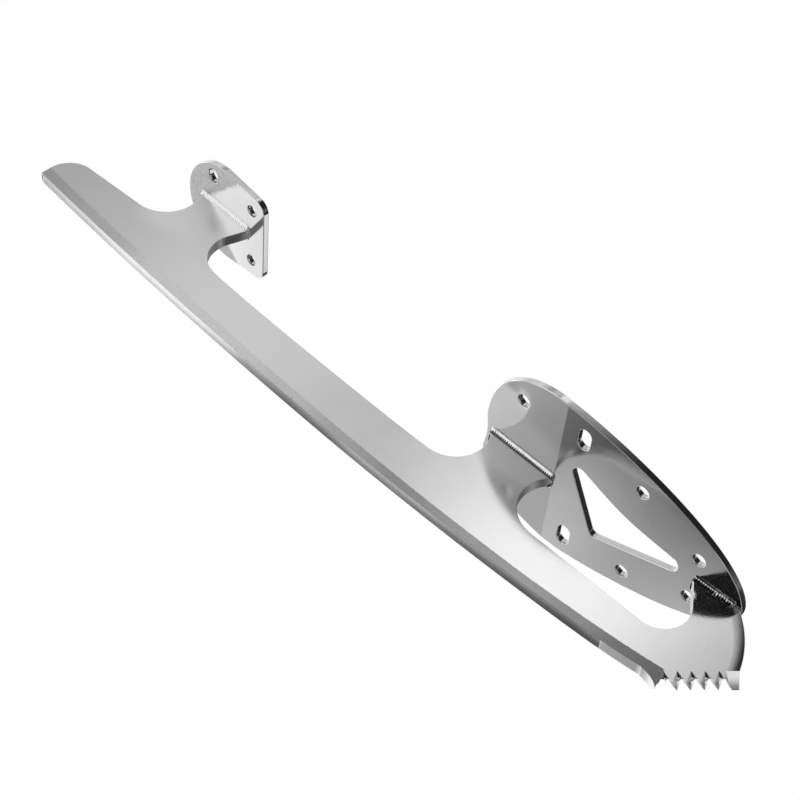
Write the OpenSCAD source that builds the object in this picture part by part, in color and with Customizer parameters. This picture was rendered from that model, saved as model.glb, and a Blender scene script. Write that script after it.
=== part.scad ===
// Figure skate blade: a flat steel runner with toe picks, and the two plates brazed on top of it
// that screw to a boot. X runs from the tail to the toe, Y from the near side to the far side,
// and Z up to the boot. Sizes are millimetres and degrees.
// Every place is measured from the datum, the point on the underside of the sole plate where the
// big opening in the runner begins. seat() then moves the blade so that its lowest point is at
// Z 0, with X 0 and Y 0 in the middle of its length and width.

/* [Runner] */
// Thickness of the runner
blade_t = 3.8; // [3.4:0.1:4.2]
// From the datum back to the end of the tail
tail_reach = 201.5; // [190:0.5:212]
// From the underside of the sole plate down to the lowest point of the running edge
drop = 35.5; // [34:0.5:38]
// From the datum forward to that lowest point
low_x = 17.5; // [10:0.5:25]
// Radius of the running edge under the tail and heel
rear_rocker_r = 2100; // [1700:50:2600]
// Radius of the running edge under the sole plate
main_rocker_r = 1250; // [1000:50:1600]
// Radius of the running edge just behind the drag pick
toe_rocker_r = 260; // [220:10:400]
// From the datum back to where the rear radius takes over
rear_rocker_x = 63; // [50:1:80]
// From the datum forward to where the toe radius takes over
toe_rocker_x = 35; // [30:1:42]
// Radius of the hollow ground along the running edge
hollow_r = 12.7; // [9:0.1:20]
// Width of the land left beside the hollow
edge_land = 0.1; // [0.08:0.01:0.2]
// From the datum forward to where the hollow ends in a step
hollow_end_x = 44; // [43:0.5:50]

/* [Tail and stanchions] */
// From the underside of the sole plate down to the top of the tail
tail_top = 6.4; // [5:0.2:8]
// Radius of the upper corner of the tail
tail_corner_r = 9; // [6:0.5:11]
// From the datum back to the middle of the round gap between the tail and the heel plate
tail_gap_x = 168.1; // [166:0.1:170]
// Radius of that gap
tail_gap_r = 11.7; // [10.5:0.1:12.5]
// From the datum back to the middle of the round end of the gap in front of the heel stanchion
waist_rear_x = 127; // [124:0.5:129]
// Radius of that end
waist_rear_r = 11; // [10:0.2:12]
// Depth of the lowest point of that end below the underside of the sole plate
waist_rear_depth = 11.3; // [10:0.1:12.5]
// Lean of the front of the heel stanchion above that end
heel_lean = 20; // [14:1:24]
// From the datum back to the middle of the round end of the gap behind the sole stanchion
waist_front_x = 33; // [31:0.5:34]
// Radius of that end
waist_front_r = 11.1; // [10:0.1:11.6]
// Depth of that end below the underside of the sole plate
waist_front_depth = 17.3; // [16:0.1:18.5]

/* [Opening under the sole] */
// Radius of the rear end of the opening
opening_rear_r = 12; // [11:0.1:12.4]
// Depth of the opening at its rear
opening_rear_depth = 20.4; // [19.6:0.1:21]
// Radius of the front end of the opening
opening_front_r = 8.7; // [7.5:0.1:9]
// From the datum forward to the middle of that end
opening_front_x = 48.1; // [46:0.1:48.6]
// Depth of the opening at its front
opening_front_depth = 22.2; // [21:0.1:23]
// Angle on the front end where its curve runs out into the straight front side
opening_front_turn = 34; // [28:1:40]

/* [Toe picks] */
// From the datum forward to the valley behind the first tooth
row_x = 61.9; // [61:0.1:62.5]
// Height of that valley above the lowest point of the running edge
row_rise = 4.4; // [4:0.1:5]
// Slope of the row of teeth
row_slope = 45; // [42:1:48]
// Distance from tooth to tooth
tooth_pitch = 3.75; // [3.4:0.05:3.8]
// Depth of the valleys between the teeth
tooth_depth = 3.6; // [3:0.1:4]
// Number of teeth on the near side of the row, without the front pick
teeth = 4; // [3:1:4]
// Length of the whole row, from the first valley to the front pick
row_len = 20.6; // [20:0.1:21.5]
// How far the drag pick reaches below the lowest point of the running edge
drag_reach = 1.1; // [0.6:0.1:1.6]
// How far the point of the drag pick lies ahead of the first valley
drag_ahead = 1.25; // [1:0.05:1.4]
// Radius of the curve that runs down the back of the drag pick
drag_r = 9.2; // [8.5:0.1:11]
// Radius of the bulging front edge of the runner above the row
toe_edge_r = 36; // [25:1:60]
// From the tip of the sole plate back to the top of that edge
toe_edge_back = 0.8; // [0.6:0.1:2]

/* [Sole plate] */
// Thickness of both plates
plate_t = 2.2; // [2:0.1:3]
// From the datum forward to the tip of the plate
sole_front = 65.8; // [64.5:0.1:68]
// From the datum back to the rear end of the plate
sole_rear = 27.5; // [27:0.1:31]
// Depth of the shallow dent in the middle of the rear end
sole_dent = 1.05; // [0:0.05:2]
// Width of that dent
sole_dent_w = 18; // [14:0.5:22]
// Width of the plate on the near side of the runner
sole_near_w = 33; // [30:0.5:36]
// Width of the plate on the far side of the runner
sole_far_w = 26; // [24:0.5:33]
// From the datum to the widest place of the near side, negative behind the datum
sole_near_peak = -3; // [-6:0.5:6]
// From the datum to the widest place of the far side
sole_far_peak = 5; // [-6:0.5:8]
// Angle by which the part behind the datum is bent up
sole_bend = 3.3; // [2:0.1:5]

/* [Heel plate] */
// From the datum back to the front edge of the plate
heel_front = 127.8; // [127:0.1:129]
// Height of that edge above the underside of the sole plate
heel_rise = 9.9; // [9:0.05:11]
// Slope of the heel plate, its rear end up
heel_pitch = 5; // [3:0.1:7]
// Length of the plate along its slope
heel_len = 37.9; // [36.5:0.1:40]
// Radius of the round rear end
heel_r = 18.2; // [17.2:0.1:19]
// Width of the plate at its front edge
heel_front_w = 33.2; // [30:0.2:34]
// Radius of the two front corners
heel_corner_r = 4.4; // [3:0.1:6]

/* [Cut-out in the sole plate] */
// From the datum forward to the middle of the cut-out's near corner
cut_near_x = 8.1; // [7:0.1:9]
// How far that middle lies to the near side of the runner
cut_near_y = 9.7; // [8:0.1:11]
// Radius of the near corner
cut_near_r = 2.6; // [2:0.1:3]
// From the datum forward to the middle of the far corner
cut_far_x = 16.6; // [15:0.1:18]
// How far that middle lies to the far side of the runner
cut_far_y = 8.5; // [7:0.1:10]
// Radius of the far corner
cut_far_r = 2; // [1.5:0.1:2.6]
// From the datum forward to the middle of the front corner
cut_front_x = 41.3; // [38:0.1:43]
// How far that middle lies to the near side of the runner
cut_front_y = 0.6; // [0:0.1:1]
// Radius of the front corner
cut_front_r = 2.9; // [2.4:0.1:3.2]
// From the datum forward to the place that bows the near side inwards
cut_bow_x = 24; // [20:0.5:28]
// How far that place lies to the near side of the runner
cut_bow_y = 5.4; // [4.5:0.1:7]

/* [Screw holes] */
// Diameter of the screw holes
hole_d = 4.2; // [3.8:0.1:4.6]
// From the datum back to the rear pair of holes in the sole plate
rear_holes_back = 15.2; // [13:0.1:18]
// From the runner's middle to the near hole of the rear pair
rear_hole_near = 22; // [18:0.1:25]
// From the runner's middle to the far hole of the rear pair
rear_hole_far = 17; // [14:0.1:18.5]
// From the datum forward to the pair of slots
slots_ahead = 6.9; // [5:0.1:9]
// From the runner's middle to the middle of the near slot
slot_near = 24.1; // [20:0.1:26.5]
// From the runner's middle to the middle of the far slot
slot_far = 18.3; // [16:0.1:20.5]
// End-to-end length of the two slots in the sole plate
sole_slot_len = 7.5; // [6:0.1:9]
// From the datum forward to the middle pair of holes
middle_holes_ahead = 28; // [25:0.1:31]
// From the runner's middle to the near hole of the middle pair
middle_hole_near = 19.5; // [16:0.1:22]
// From the runner's middle to the far hole of the middle pair
middle_hole_far = 16; // [14:0.1:18]
// From the datum forward to the front pair of holes
front_holes_ahead = 49.5; // [47:0.1:51]
// From the runner's middle to the near hole of the front pair
front_hole_near = 9.2; // [8:0.1:12]
// From the runner's middle to the far hole of the front pair
front_hole_far = 7.5; // [6.5:0.1:9.5]
// From the front edge of the heel plate back to its front pair of holes
heel_hole_back = 5.9; // [5:0.1:7]
// Distance between the front pair of holes in the heel plate
heel_hole_gap = 21.2; // [20:0.1:23]
// From the round rear end of the heel plate forward to its pair of slots
heel_slot_in = 12.6; // [11:0.1:13.5]
// Distance between the middles of the two slots
heel_slot_gap = 24.8; // [24:0.1:25.5]
// End-to-end length of the two slots in the heel plate
heel_slot_len = 5.4; // [5:0.1:6]

/* [Braze] */
// Thickness of the film of braze between the runner and a plate
film = 0.15; // [0.1:0.01:0.3]
// Width and height of the braze fillet along each side of the runner
fillet = 1.2; // [0.8:0.1:1.6]
// From the tip of the sole plate back to the front end of the braze
braze_back = 2; // [1:0.1:4]

/* [Hidden] */
$fn = 64;
// How far a cut runs past the metal, and a size past the whole blade
past = 5;
big = 400;
mid_y = blade_t / 2;
tail_x = -tail_reach;
row_start = [row_x, row_rise - drop];
row_dir = [cos(row_slope), sin(row_slope)];
row_out = [sin(row_slope), -cos(row_slope)];
tip_flat = 0.12;
// Valleys that slant one way and the other meet this far outside the faces of the runner
cross_out = 0.05;
// Powers in the outline of the sole plate. The front ones say how full it is ahead of its widest
// place, and the rear ones how square its rear end is
near_full = 1.4;
far_full = 1.35;
rear_full = 1.95;
rear_square = 3.2;
front_tip = row_start + (row_len - tip_flat) * row_dir + (tooth_depth - tip_flat) * row_out;
lowest = drop + drag_reach;
blade_front = front_tip[0];
heel_at = [-heel_front, heel_rise];

// Middles of the three arcs of the running edge, which meet without a corner
main_mid = [low_x, main_rocker_r - drop];
rear_turn = asin((-rear_rocker_x - low_x) / main_rocker_r);
toe_turn = asin((toe_rocker_x - low_x) / main_rocker_r);
rear_mid = main_mid + (main_rocker_r - rear_rocker_r) * [sin(rear_turn), -cos(rear_turn)];
toe_mid = main_mid + (main_rocker_r - toe_rocker_r) * [sin(toe_turn), -cos(toe_turn)];

// The hollows under those arcs end this far apart, which leaves a hair-thin ridge between them
hollow_gap = 0.05;

// Middle of the curve behind the drag pick, which ends at the pick's point, and where it begins
drag_tip_angle = 41;
drag_mid = [row_x + drag_ahead - drag_r * sin(drag_tip_angle),
            -lowest - drag_r * cos(drag_tip_angle)];
drag_start_x = drag_mid[0] - 0.4;

// Middles of the round ends of the gaps in the runner, seen from the side
tail_gap_mid = [-tail_gap_x, tail_gap_r - tail_top];
waist_rear_mid = [-waist_rear_x, waist_rear_r - waist_rear_depth];
waist_front_mid = [-waist_front_x, waist_front_r - waist_front_depth];
opening_rear_mid = [sqrt(opening_rear_r * opening_rear_r - pow(opening_rear_depth - opening_rear_r, 2)),
                    opening_rear_r - opening_rear_depth];
opening_front_mid = [opening_front_x, opening_front_r - opening_front_depth];

// The straight fronts of the heel stanchion and of the opening: a point and a direction
lean_from = waist_rear_mid + waist_rear_r * [-cos(heel_lean), sin(heel_lean)];
lean_dir = [sin(heel_lean), cos(heel_lean)];
turn_from = opening_front_mid + opening_front_r * [cos(opening_front_turn), sin(opening_front_turn)];
turn_dir = [-sin(opening_front_turn), cos(opening_front_turn)];

// Undersides of the heel plate and of the bent part of the sole plate: directions towards the tail
heel_dir = [-cos(heel_pitch), sin(heel_pitch)];
bend_dir = [-cos(sole_bend), sin(sole_bend)];

// Where the stanchions stand, measured towards the tail along the undersides of the plates
heel_foot = [line_on_line(heel_at, heel_dir, lean_from, lean_dir),
             line_into_circle(heel_at, heel_dir, tail_gap_mid, tail_gap_r)];
rear_foot = [0, line_into_circle([0, 0], bend_dir, waist_front_mid, waist_front_r)];
front_foot = [braze_back - sole_front, line_on_line([0, 0], [-1, 0], turn_from, turn_dir)];

// Helpers that give lists of points
function arc(mid, r, from, to, steps = 18) =
    [for (i = [0:steps]) let (a = from + (to - from) * i / steps) mid + r * [cos(a), sin(a)]];
function arc_through(p, q, r, steps = 10) =
    let (chord = q - p, half = norm(chord) / 2, side = [chord[1], -chord[0]] / (2 * half))
    let (mid = (p + q) / 2 + side * sqrt(r * r - half * half))
    let (a = atan2(p[1] - mid[1], p[0] - mid[0]), b = atan2(q[1] - mid[1], q[0] - mid[0]))
    arc(mid, r, a, b, steps);
function curve(a, b, c, d, steps = 20) =
    [for (i = [0:steps]) let (t = i / steps, s = 1 - t)
        s * s * s * a + 3 * s * s * t * b + 3 * s * t * t * c + t * t * t * d];
function edge_z(x) =
    let (mid = x < -rear_rocker_x ? rear_mid : x < toe_rocker_x ? main_mid : toe_mid)
    let (r = x < -rear_rocker_x ? rear_rocker_r : x < toe_rocker_x ? main_rocker_r : toe_rocker_r)
    mid[1] - sqrt(r * r - (x - mid[0]) * (x - mid[0]));
function running_edge(from, to, step = 4) =
    let (n = ceil(abs(to - from) / step))
    [for (i = [0:n]) let (x = from + (to - from) * i / n) [x, edge_z(x)]];

// One side of the sole plate's outline from its widest place forward, where it draws in to a point
function leaf_front(w, peak, full, steps = 28) =
    [for (i = [0:steps]) let (u = sin(90 * i / steps))
        [peak + (sole_front - peak) * u, w * sqrt(max(0, 1 - pow(u, full)))]];

// The same side from its widest place back to the middle of the dented rear end
function leaf_rear(w, peak, steps = 32) =
    [for (i = [0:steps]) let (v = 1 - pow(i / steps, 2))
        [dent(w * v) + peak - (sole_rear + peak) * pow(1 - pow(v, rear_square), 1 / rear_full), w * v]];
function dent(y) = abs(y) < sole_dent_w / 2 ? sole_dent * (1 + cos(360 * y / sole_dent_w)) / 2 : 0;

// How far along a line, from point p in direction d, it meets another line or enters a circle
function line_on_line(p, d, q, e) = cross(q - p, e) / cross(d, e);
function line_into_circle(p, d, mid, r) =
    let (to = mid - p, along = to * d)
    along - sqrt(r * r - (to * to - along * along));

module seat() {
    translate([(tail_reach - blade_front) / 2, (sole_near_w - sole_far_w) / 2, lowest]) children();
}

// Stands a drawing made in X and Z upright and gives it its width along Y
module upright(width) {
    rotate([90, 0, 0]) linear_extrude(height = width, center = true) children();
}

// Moves into the slope of the heel plate, with X 0 at its front edge and Z 0 at its underside
module on_heel() {
    translate([heel_at[0], 0, heel_at[1]]) rotate([0, heel_pitch, 0]) children();
}

// Moves into the slope of the bent rear part of the sole plate
module on_sole_rear() {
    rotate([0, sole_bend, 0]) children();
}

// Moves onto the row of teeth, with X along the row and Z into the metal
module on_row() {
    translate([row_start[0], 0, row_start[1]]) rotate([0, -row_slope, 0]) children();
}

// Everything that the runner covers seen from the side, still too tall under the plates
module side_blank() {
    above = 20;
    ease = 12;
    corner = [tail_x + tail_corner_r, -tail_top - tail_corner_r];
    dip = arc(waist_rear_mid, waist_rear_r, 180 - heel_lean, 260);
    rise = arc(waist_front_mid, waist_front_r, 270, 405);
    dip_end = dip[len(dip) - 1];
    drag = arc(drag_mid, drag_r, 90, 90 - drag_tip_angle, 10);
    drag_tip = drag[len(drag) - 1];
    nose_top = [sole_front - toe_edge_back, 0];
    nose = arc_through(nose_top, row_start + row_len * row_dir, toe_edge_r);
    polygon(concat(
        running_edge(drag_start_x, tail_x),
        arc(corner, tail_corner_r, 180, 90, 12),
        arc(tail_gap_mid, tail_gap_r, -90, 60),
        [lean_from + above * lean_dir],
        dip,
        curve(dip_end, dip_end + ease * [cos(10), -sin(10)], rise[0] - [ease, 0], rise[0]),
        rise,
        [[rise[0][0] + ease / 2, above], [nose_top[0], above]],
        nose,
        [front_tip,
         row_start + 0.43 * tooth_pitch * row_dir + (tooth_depth - tip_flat) * row_out,
         row_start,
         drag_tip + [tip_flat, 0.2]],
        [for (i = [len(drag) - 1:-1:0]) drag[i]]));
}

module opening() {
    polygon(concat(
        arc(opening_rear_mid, opening_rear_r, 110, 268),
        arc(opening_front_mid, opening_front_r, 268, 360 + opening_front_turn),
        [turn_from + 12 * turn_dir]));
}

// What lies above the undersides of the plates, less the film of braze
module above_plates() {
    tall = 60;
    translate(heel_at) rotate(-heel_pitch) translate([-heel_len * 1.5, -film]) square([heel_len * 2, tall]);
    translate([0, -film]) square([big, tall]);
    rotate(-sole_bend) translate([-waist_front_x - 20, -film]) square([waist_front_x + 21, tall]);
}

// The hollow ground along one arc of the running edge, between two places along the blade
module hollow(mid, r, from, to) {
    half = mid_y - edge_land;
    reach = r + sqrt(hollow_r * hollow_r - half * half);
    a = asin((from - mid[0]) / r) - 90;
    b = asin((to - mid[0]) / r) - 90;
    translate([mid[0], 0, mid[1]])
        rotate([90, 0, 0]) rotate([0, 0, a])
            rotate_extrude(angle = b - a, $fn = 3000) translate([reach, 0]) circle(r = hollow_r, $fn = 180);
}

// A valley across the row. lean is 1 or -1: which way it slants from the near to the far side
module valley(at, lean) {
    slant = atan(tooth_pitch / 2 / (blade_t + 2 * cross_out));
    deep = tooth_depth + past;
    half = tooth_pitch / 2 * cos(slant) * deep / tooth_depth;
    translate([at + lean * tooth_pitch / 4, 0, 0]) rotate([0, 0, -lean * slant])
        upright(blade_t * 3) polygon([[0, 0], [half, -deep], [-half, -deep]]);
}

// Takes the near half off the front pick, from the level of the valleys down to its far edge
module front_pick_slope(from) {
    deep = tooth_depth + past;
    translate([from, 0, 0]) rotate([90, 0, 90]) linear_extrude(height = row_len)
        polygon([[-mid_y - past, 0], [-mid_y, 0], [mid_y - 0.3, -tooth_depth],
                 [mid_y - 0.3, -deep], [-mid_y - past, -deep]]);
}

module runner() {
    color("gainsboro") seat() difference() {
        upright(blade_t) difference() {
            side_blank();
            opening();
            above_plates();
        }
        hollow(rear_mid, rear_rocker_r, tail_x - past, -rear_rocker_x - hollow_gap);
        hollow(main_mid, main_rocker_r, -rear_rocker_x, toe_rocker_x);
        hollow(toe_mid, toe_rocker_r, toe_rocker_x + hollow_gap, hollow_end_x);
        on_row() {
            for (k = [0:teeth], lean = [-1, 1]) valley(k * tooth_pitch, lean);
            front_pick_slope((teeth + 0.5) * tooth_pitch);
        }
    }
}

module screw_hole() {
    translate([0, 0, -past]) cylinder(d = hole_d, h = 2 * past + plate_t);
}

module slot(length) {
    run = length - hole_d;
    translate([0, 0, -past]) linear_extrude(height = 2 * past + plate_t) {
        translate([0, -run / 2]) circle(d = hole_d);
        translate([0, run / 2]) circle(d = hole_d);
        square([hole_d, run], center = true);
    }
}

// The cut-out between the stanchions: a slanting rear side, a bowed near side and a straight far side
module cut_out() {
    near = [cut_near_x, -cut_near_y];
    far = [cut_far_x, cut_far_y];
    front = [cut_front_x, -cut_front_y];
    bow = [cut_bow_x, -cut_bow_y];
    rear_side = 147;
    far_side = 72;
    near_side = 302;
    linear_extrude(height = 2 * past + plate_t, center = true) polygon(concat(
        arc(near, cut_near_r, rear_side, near_side, 8),
        curve(near + cut_near_r * [cos(near_side), sin(near_side)], bow, bow + [2, 0.3],
              front + cut_front_r * [cos(near_side), sin(near_side)], 10),
        arc(front, cut_front_r, near_side - 360, far_side, 8),
        arc(far, cut_far_r, far_side, rear_side, 6)));
}

// Flat outline of the sole plate, from the tip round the near side to the tip again
module sole_outline() {
    near_front = leaf_front(-sole_near_w, sole_near_peak, near_full);
    near_rear = leaf_rear(-sole_near_w, sole_near_peak);
    far_rear = leaf_rear(sole_far_w, sole_far_peak);
    far_front = leaf_front(sole_far_w, sole_far_peak, far_full);
    polygon(concat(
        [for (i = [len(near_front) - 1:-1:1]) near_front[i]],
        near_rear,
        [for (i = [len(far_rear) - 2:-1:0]) far_rear[i]],
        [for (i = [1:len(far_front) - 2]) far_front[i]]));
}

module sole_plate() {
    fold = plate_t * [tan(sole_bend / 2), 1];
    rear = sole_rear + past;
    front = sole_front + past;
    color("silver") seat() difference() {
        intersection() {
            translate([0, 0, -past]) linear_extrude(height = 20) sole_outline();
            upright(big) polygon([
                [0, 0], [front, 0], [front, plate_t], fold, fold + rear * bend_dir, rear * bend_dir]);
        }
        cut_out();
        for (y = [-rear_hole_near, rear_hole_far]) translate([-rear_holes_back, y, 0]) screw_hole();
        for (y = [-slot_near, slot_far]) translate([slots_ahead, y, 0]) slot(sole_slot_len);
        for (y = [-middle_hole_near, middle_hole_far]) translate([middle_holes_ahead, y, 0]) screw_hole();
        for (y = [-front_hole_near, front_hole_far]) translate([front_holes_ahead, y, 0]) screw_hole();
    }
}

module heel_plate() {
    mid = [heel_r - heel_len, 0];
    corner = [-heel_corner_r, heel_front_w / 2 - heel_corner_r];
    taper = atan((heel_r - heel_front_w / 2) / (heel_len - heel_r - heel_corner_r));
    side = 90 - taper;
    color("silver") seat() on_heel() difference() {
        linear_extrude(height = plate_t) polygon(concat(
            arc(mid, heel_r, side, 360 - side, 48),
            arc([corner[0], -corner[1]], heel_corner_r, -side, 0, 8),
            arc(corner, heel_corner_r, 0, side, 8)));
        for (y = [-1, 1]) {
            translate([-heel_hole_back, y * heel_hole_gap / 2, 0]) screw_hole();
            translate([heel_slot_in - heel_len, y * heel_slot_gap / 2, 0]) slot(heel_slot_len);
        }
    }
}

// Braze under a plate, between two places along it towards the tail: a film on top of the runner
// and a hollow fillet down each side
module braze(foot) {
    side = mid_y + fillet;
    low = -film - fillet;
    translate([-foot[1], 0, 0]) rotate([90, 0, 90]) linear_extrude(height = foot[1] - foot[0]) polygon(concat(
        [[side, 0]],
        arc([side, low], fillet, 90, 180, 6),
        [[mid_y, low], [mid_y, -film], [-mid_y, -film], [-mid_y, low]],
        arc([-side, low], fillet, 0, 90, 6),
        [[-side, 0]]));
}

module heel_braze() {
    color("lightgray") seat() on_heel() braze(heel_foot);
}

module sole_rear_braze() {
    color("lightgray") seat() on_sole_rear() braze(rear_foot);
}

module sole_front_braze() {
    color("lightgray") seat() braze(front_foot);
}

runner();
sole_plate();
heel_plate();
heel_braze();
sole_rear_braze();
sole_front_braze();
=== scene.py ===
"""Figure skate blade: the looks of the runner, the two plates and the braze that joins them.

Sizes in the functions are millimetres, measured from the datum, the point on the underside of
the sole plate where the big opening in the runner begins: X to the toe, Y to the far side, Z up.
"""

import contextlib
import math

import bmesh  # noqa: E402
import bpy  # noqa: E402
from mathutils import Matrix, Vector  # noqa: E402


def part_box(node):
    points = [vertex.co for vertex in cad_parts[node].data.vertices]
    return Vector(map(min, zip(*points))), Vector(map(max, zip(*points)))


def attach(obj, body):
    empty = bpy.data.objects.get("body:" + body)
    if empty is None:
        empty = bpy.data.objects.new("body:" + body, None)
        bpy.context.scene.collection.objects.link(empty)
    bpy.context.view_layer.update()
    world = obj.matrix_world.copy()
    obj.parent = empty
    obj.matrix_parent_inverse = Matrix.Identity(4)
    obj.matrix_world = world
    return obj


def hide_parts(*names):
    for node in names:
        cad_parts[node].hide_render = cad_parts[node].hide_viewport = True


bl_info = {
    "name": "Figure Skate Blade",
    "version": (1, 0, 0),
    "blender": (4, 5, 0),
    "location": "View3D > Sidebar > Skate Blade",
    "description": "Builds the runner, plates and braze of a figure skate blade over its frame",
    "category": "Add Mesh",
}

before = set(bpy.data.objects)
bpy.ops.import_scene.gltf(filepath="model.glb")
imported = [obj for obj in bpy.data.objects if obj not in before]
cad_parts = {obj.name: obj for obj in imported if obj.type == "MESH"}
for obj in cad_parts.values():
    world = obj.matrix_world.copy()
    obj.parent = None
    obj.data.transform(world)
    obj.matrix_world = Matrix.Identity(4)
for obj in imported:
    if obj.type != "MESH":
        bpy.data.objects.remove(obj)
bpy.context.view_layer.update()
MM = 0.001

# The runner seen from the side
TAIL_X = -201.5
DROP = 35.5
LOW_X = 17.5
REAR_ROCKER_R = 2100.0
MAIN_ROCKER_R = 1250.0
TOE_ROCKER_R = 260.0
REAR_ROCKER_X = -63.0
TOE_ROCKER_X = 35.0
TAIL_TOP = 6.4
TAIL_CORNER_R = 9.0
TAIL_GAP_R = 11.7
TAIL_GAP_MID = (-168.1, TAIL_GAP_R - TAIL_TOP)
WAIST_REAR_R = 11.0
WAIST_REAR_MID = (-127.0, WAIST_REAR_R - 11.3)
WAIST_FRONT_R = 11.1
WAIST_FRONT_MID = (-33.0, WAIST_FRONT_R - 17.3)
HEEL_LEAN = 20.0
OPENING_REAR_R = 12.0
OPENING_REAR_DEPTH = 20.4
OPENING_FRONT_R = 8.7
OPENING_FRONT_MID = (48.1, OPENING_FRONT_R - 22.2)
OPENING_FRONT_TURN = 34.0
OPENING_LOW_ANGLE = 268

# Where the waist's rear arc ends, and the slope and reach of the curve that goes on from it
WAIST_REAR_END = 260
WAIST_SLOPE = -10
WAIST_EASE = 12

# The row of teeth and the drag pick behind it
ROW_START = (61.9, 4.4 - DROP)
ROW_SLOPE = 45.0
ROW_LEN = 20.6
TIP_FLAT = 0.12
CROSS_OUT = 0.05
DRAG_R = 9.2
DRAG_TIP_ANGLE = 41.0
DRAG_AHEAD = 1.25
DRAG_REACH = 1.1
TOE_EDGE_R = 36.0
TOE_EDGE_BACK = 0.8
TEETH = 4
TOOTH_PITCH = 3.75
TOOTH_DEPTH = 3.6

# How far along its first tooth the row's foot lies, the front pick's edge, and the cutters' reach
ROW_FOOT_SHARE = 0.43
PICK_EDGE = 0.3
CUT_PAST = 5.0
CUT_LENGTH = 12.0

# The plates and where the stanchions stand under them
SOLE_FRONT = 65.8
SOLE_REAR = 27.5
SOLE_DENT = 1.05
SOLE_DENT_W = 18.0
SOLE_BEND = 3.3
SOLE_BEND_R = 6.0
HEEL_AT = (-127.8, 9.9)
HEEL_PITCH = 5.0
HEEL_LEN = 37.9

# How full the sole plate's outline is on each side ahead of its widest place, and behind it
NEAR_FULL = 1.4
FAR_FULL = 1.35
REAR_FULL = 1.95
REAR_SQUARE = 3.2

# Holes in pairs: place along the plate, near and far place across it, and a slot's length or None
SOLE_HOLES = [(-15.2, -22.0, 17.0, None), (28.0, -19.5, 16.0, None), (49.5, -9.2, 7.5, None),
              (6.9, -24.1, 18.3, 7.5)]
HEEL_HOLES = [(-5.9, -10.6, 10.6, None), (12.6 - HEEL_LEN, -12.4, 12.4, 5.4)]

# The braze
FILM = 0.15
BRAZE_BACK = 2.0
END_ROUNDING = 0.8
STATIONS_PER_RIPPLE = 8

sole_low, sole_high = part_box("sole_plate")
runner_low, runner_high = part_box("runner")
DATUM = Vector((sole_high.x - SOLE_FRONT * MM, (runner_low.y + runner_high.y) / 2, sole_low.z))


# Points, lines and arcs in the plane of the runner
def turned(degrees):
    """The direction at an angle, as a pair."""
    return math.cos(math.radians(degrees)), math.sin(math.radians(degrees))


def along(start, direction, distance):
    """The point at a distance from another in a direction."""
    return start[0] + direction[0] * distance, start[1] + direction[1] * distance


def arc(mid, r, start, end, step=2.5):
    """Points on an arc, its angles in degrees, with a step of at most so many degrees."""
    count = max(2, math.ceil(abs(end - start) / step))
    return [along(mid, turned(start + (end - start) * i / count), r) for i in range(count + 1)]


def arc_mid(p, q, r):
    """The middle of the arc of that radius that bulges to the right on its way from p to q."""
    chord = (q[0] - p[0], q[1] - p[1])
    half = math.hypot(*chord) / 2
    rise = math.sqrt(r * r - half * half)
    side = (chord[1] / (2 * half), -chord[0] / (2 * half))
    return along(((p[0] + q[0]) / 2, (p[1] + q[1]) / 2), side, rise)


def arc_through(p, q, r, steps=24):
    """Points on the arc of that radius that bulges to the right on its way from p to q."""
    mid = arc_mid(p, q, r)
    a = math.degrees(math.atan2(p[1] - mid[1], p[0] - mid[0]))
    b = math.degrees(math.atan2(q[1] - mid[1], q[0] - mid[0]))
    return [along(mid, turned(a + (b - a) * i / steps), r) for i in range(steps + 1)]


def curve(a, b, c, d, steps=24):
    """Points on the smooth curve from a to d that leaves towards b and arrives from c."""
    points = []
    for i in range(steps + 1):
        t = i / steps
        s = 1 - t
        weights = (s * s * s, 3 * s * s * t, 3 * s * t * t, t * t * t)
        points.append(tuple(sum(w * p[k] for w, p in zip(weights, (a, b, c, d))) for k in (0, 1)))
    return points


def line_on_line(p, d, q, e):
    """How far from p, in direction d, the line meets the one through q in direction e."""
    return ((q[0] - p[0]) * e[1] - (q[1] - p[1]) * e[0]) / (d[0] * e[1] - d[1] * e[0])


def line_into_circle(p, d, mid, r):
    """How far from p, in direction d, the line enters the circle."""
    to = (mid[0] - p[0], mid[1] - p[1])
    run = to[0] * d[0] + to[1] * d[1]
    return run - math.sqrt(r * r - (to[0] ** 2 + to[1] ** 2 - run * run))


def angle_of(point, mid):
    """The angle in degrees, from 0 to 360, at which a point lies round another."""
    return math.degrees(math.atan2(point[1] - mid[1], point[0] - mid[0])) % 360


# The three arcs of the running edge, which meet without a corner
MAIN_MID = (LOW_X, MAIN_ROCKER_R - DROP)
REAR_TURN = math.asin((REAR_ROCKER_X - LOW_X) / MAIN_ROCKER_R)
TOE_TURN = math.asin((TOE_ROCKER_X - LOW_X) / MAIN_ROCKER_R)
REAR_MID = along(MAIN_MID, (math.sin(REAR_TURN), -math.cos(REAR_TURN)), MAIN_ROCKER_R - REAR_ROCKER_R)
TOE_MID = along(MAIN_MID, (math.sin(TOE_TURN), -math.cos(TOE_TURN)), MAIN_ROCKER_R - TOE_ROCKER_R)
OPENING_REAR_MID = (
    math.sqrt(OPENING_REAR_R**2 - (OPENING_REAR_DEPTH - OPENING_REAR_R) ** 2),
    OPENING_REAR_R - OPENING_REAR_DEPTH,
)
DRAG_MID = (
    ROW_START[0] + DRAG_AHEAD - DRAG_R * turned(DRAG_TIP_ANGLE)[1],
    -DROP - DRAG_REACH - DRAG_R * turned(DRAG_TIP_ANGLE)[0],
)
DRAG_START_X = DRAG_MID[0] - 0.4
ROW_DIR = turned(ROW_SLOPE)
ROW_OUT = (ROW_DIR[1], -ROW_DIR[0])
ROW_END = along(ROW_START, ROW_DIR, ROW_LEN)
NOSE_TOP = (SOLE_FRONT - TOE_EDGE_BACK, 0)
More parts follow.
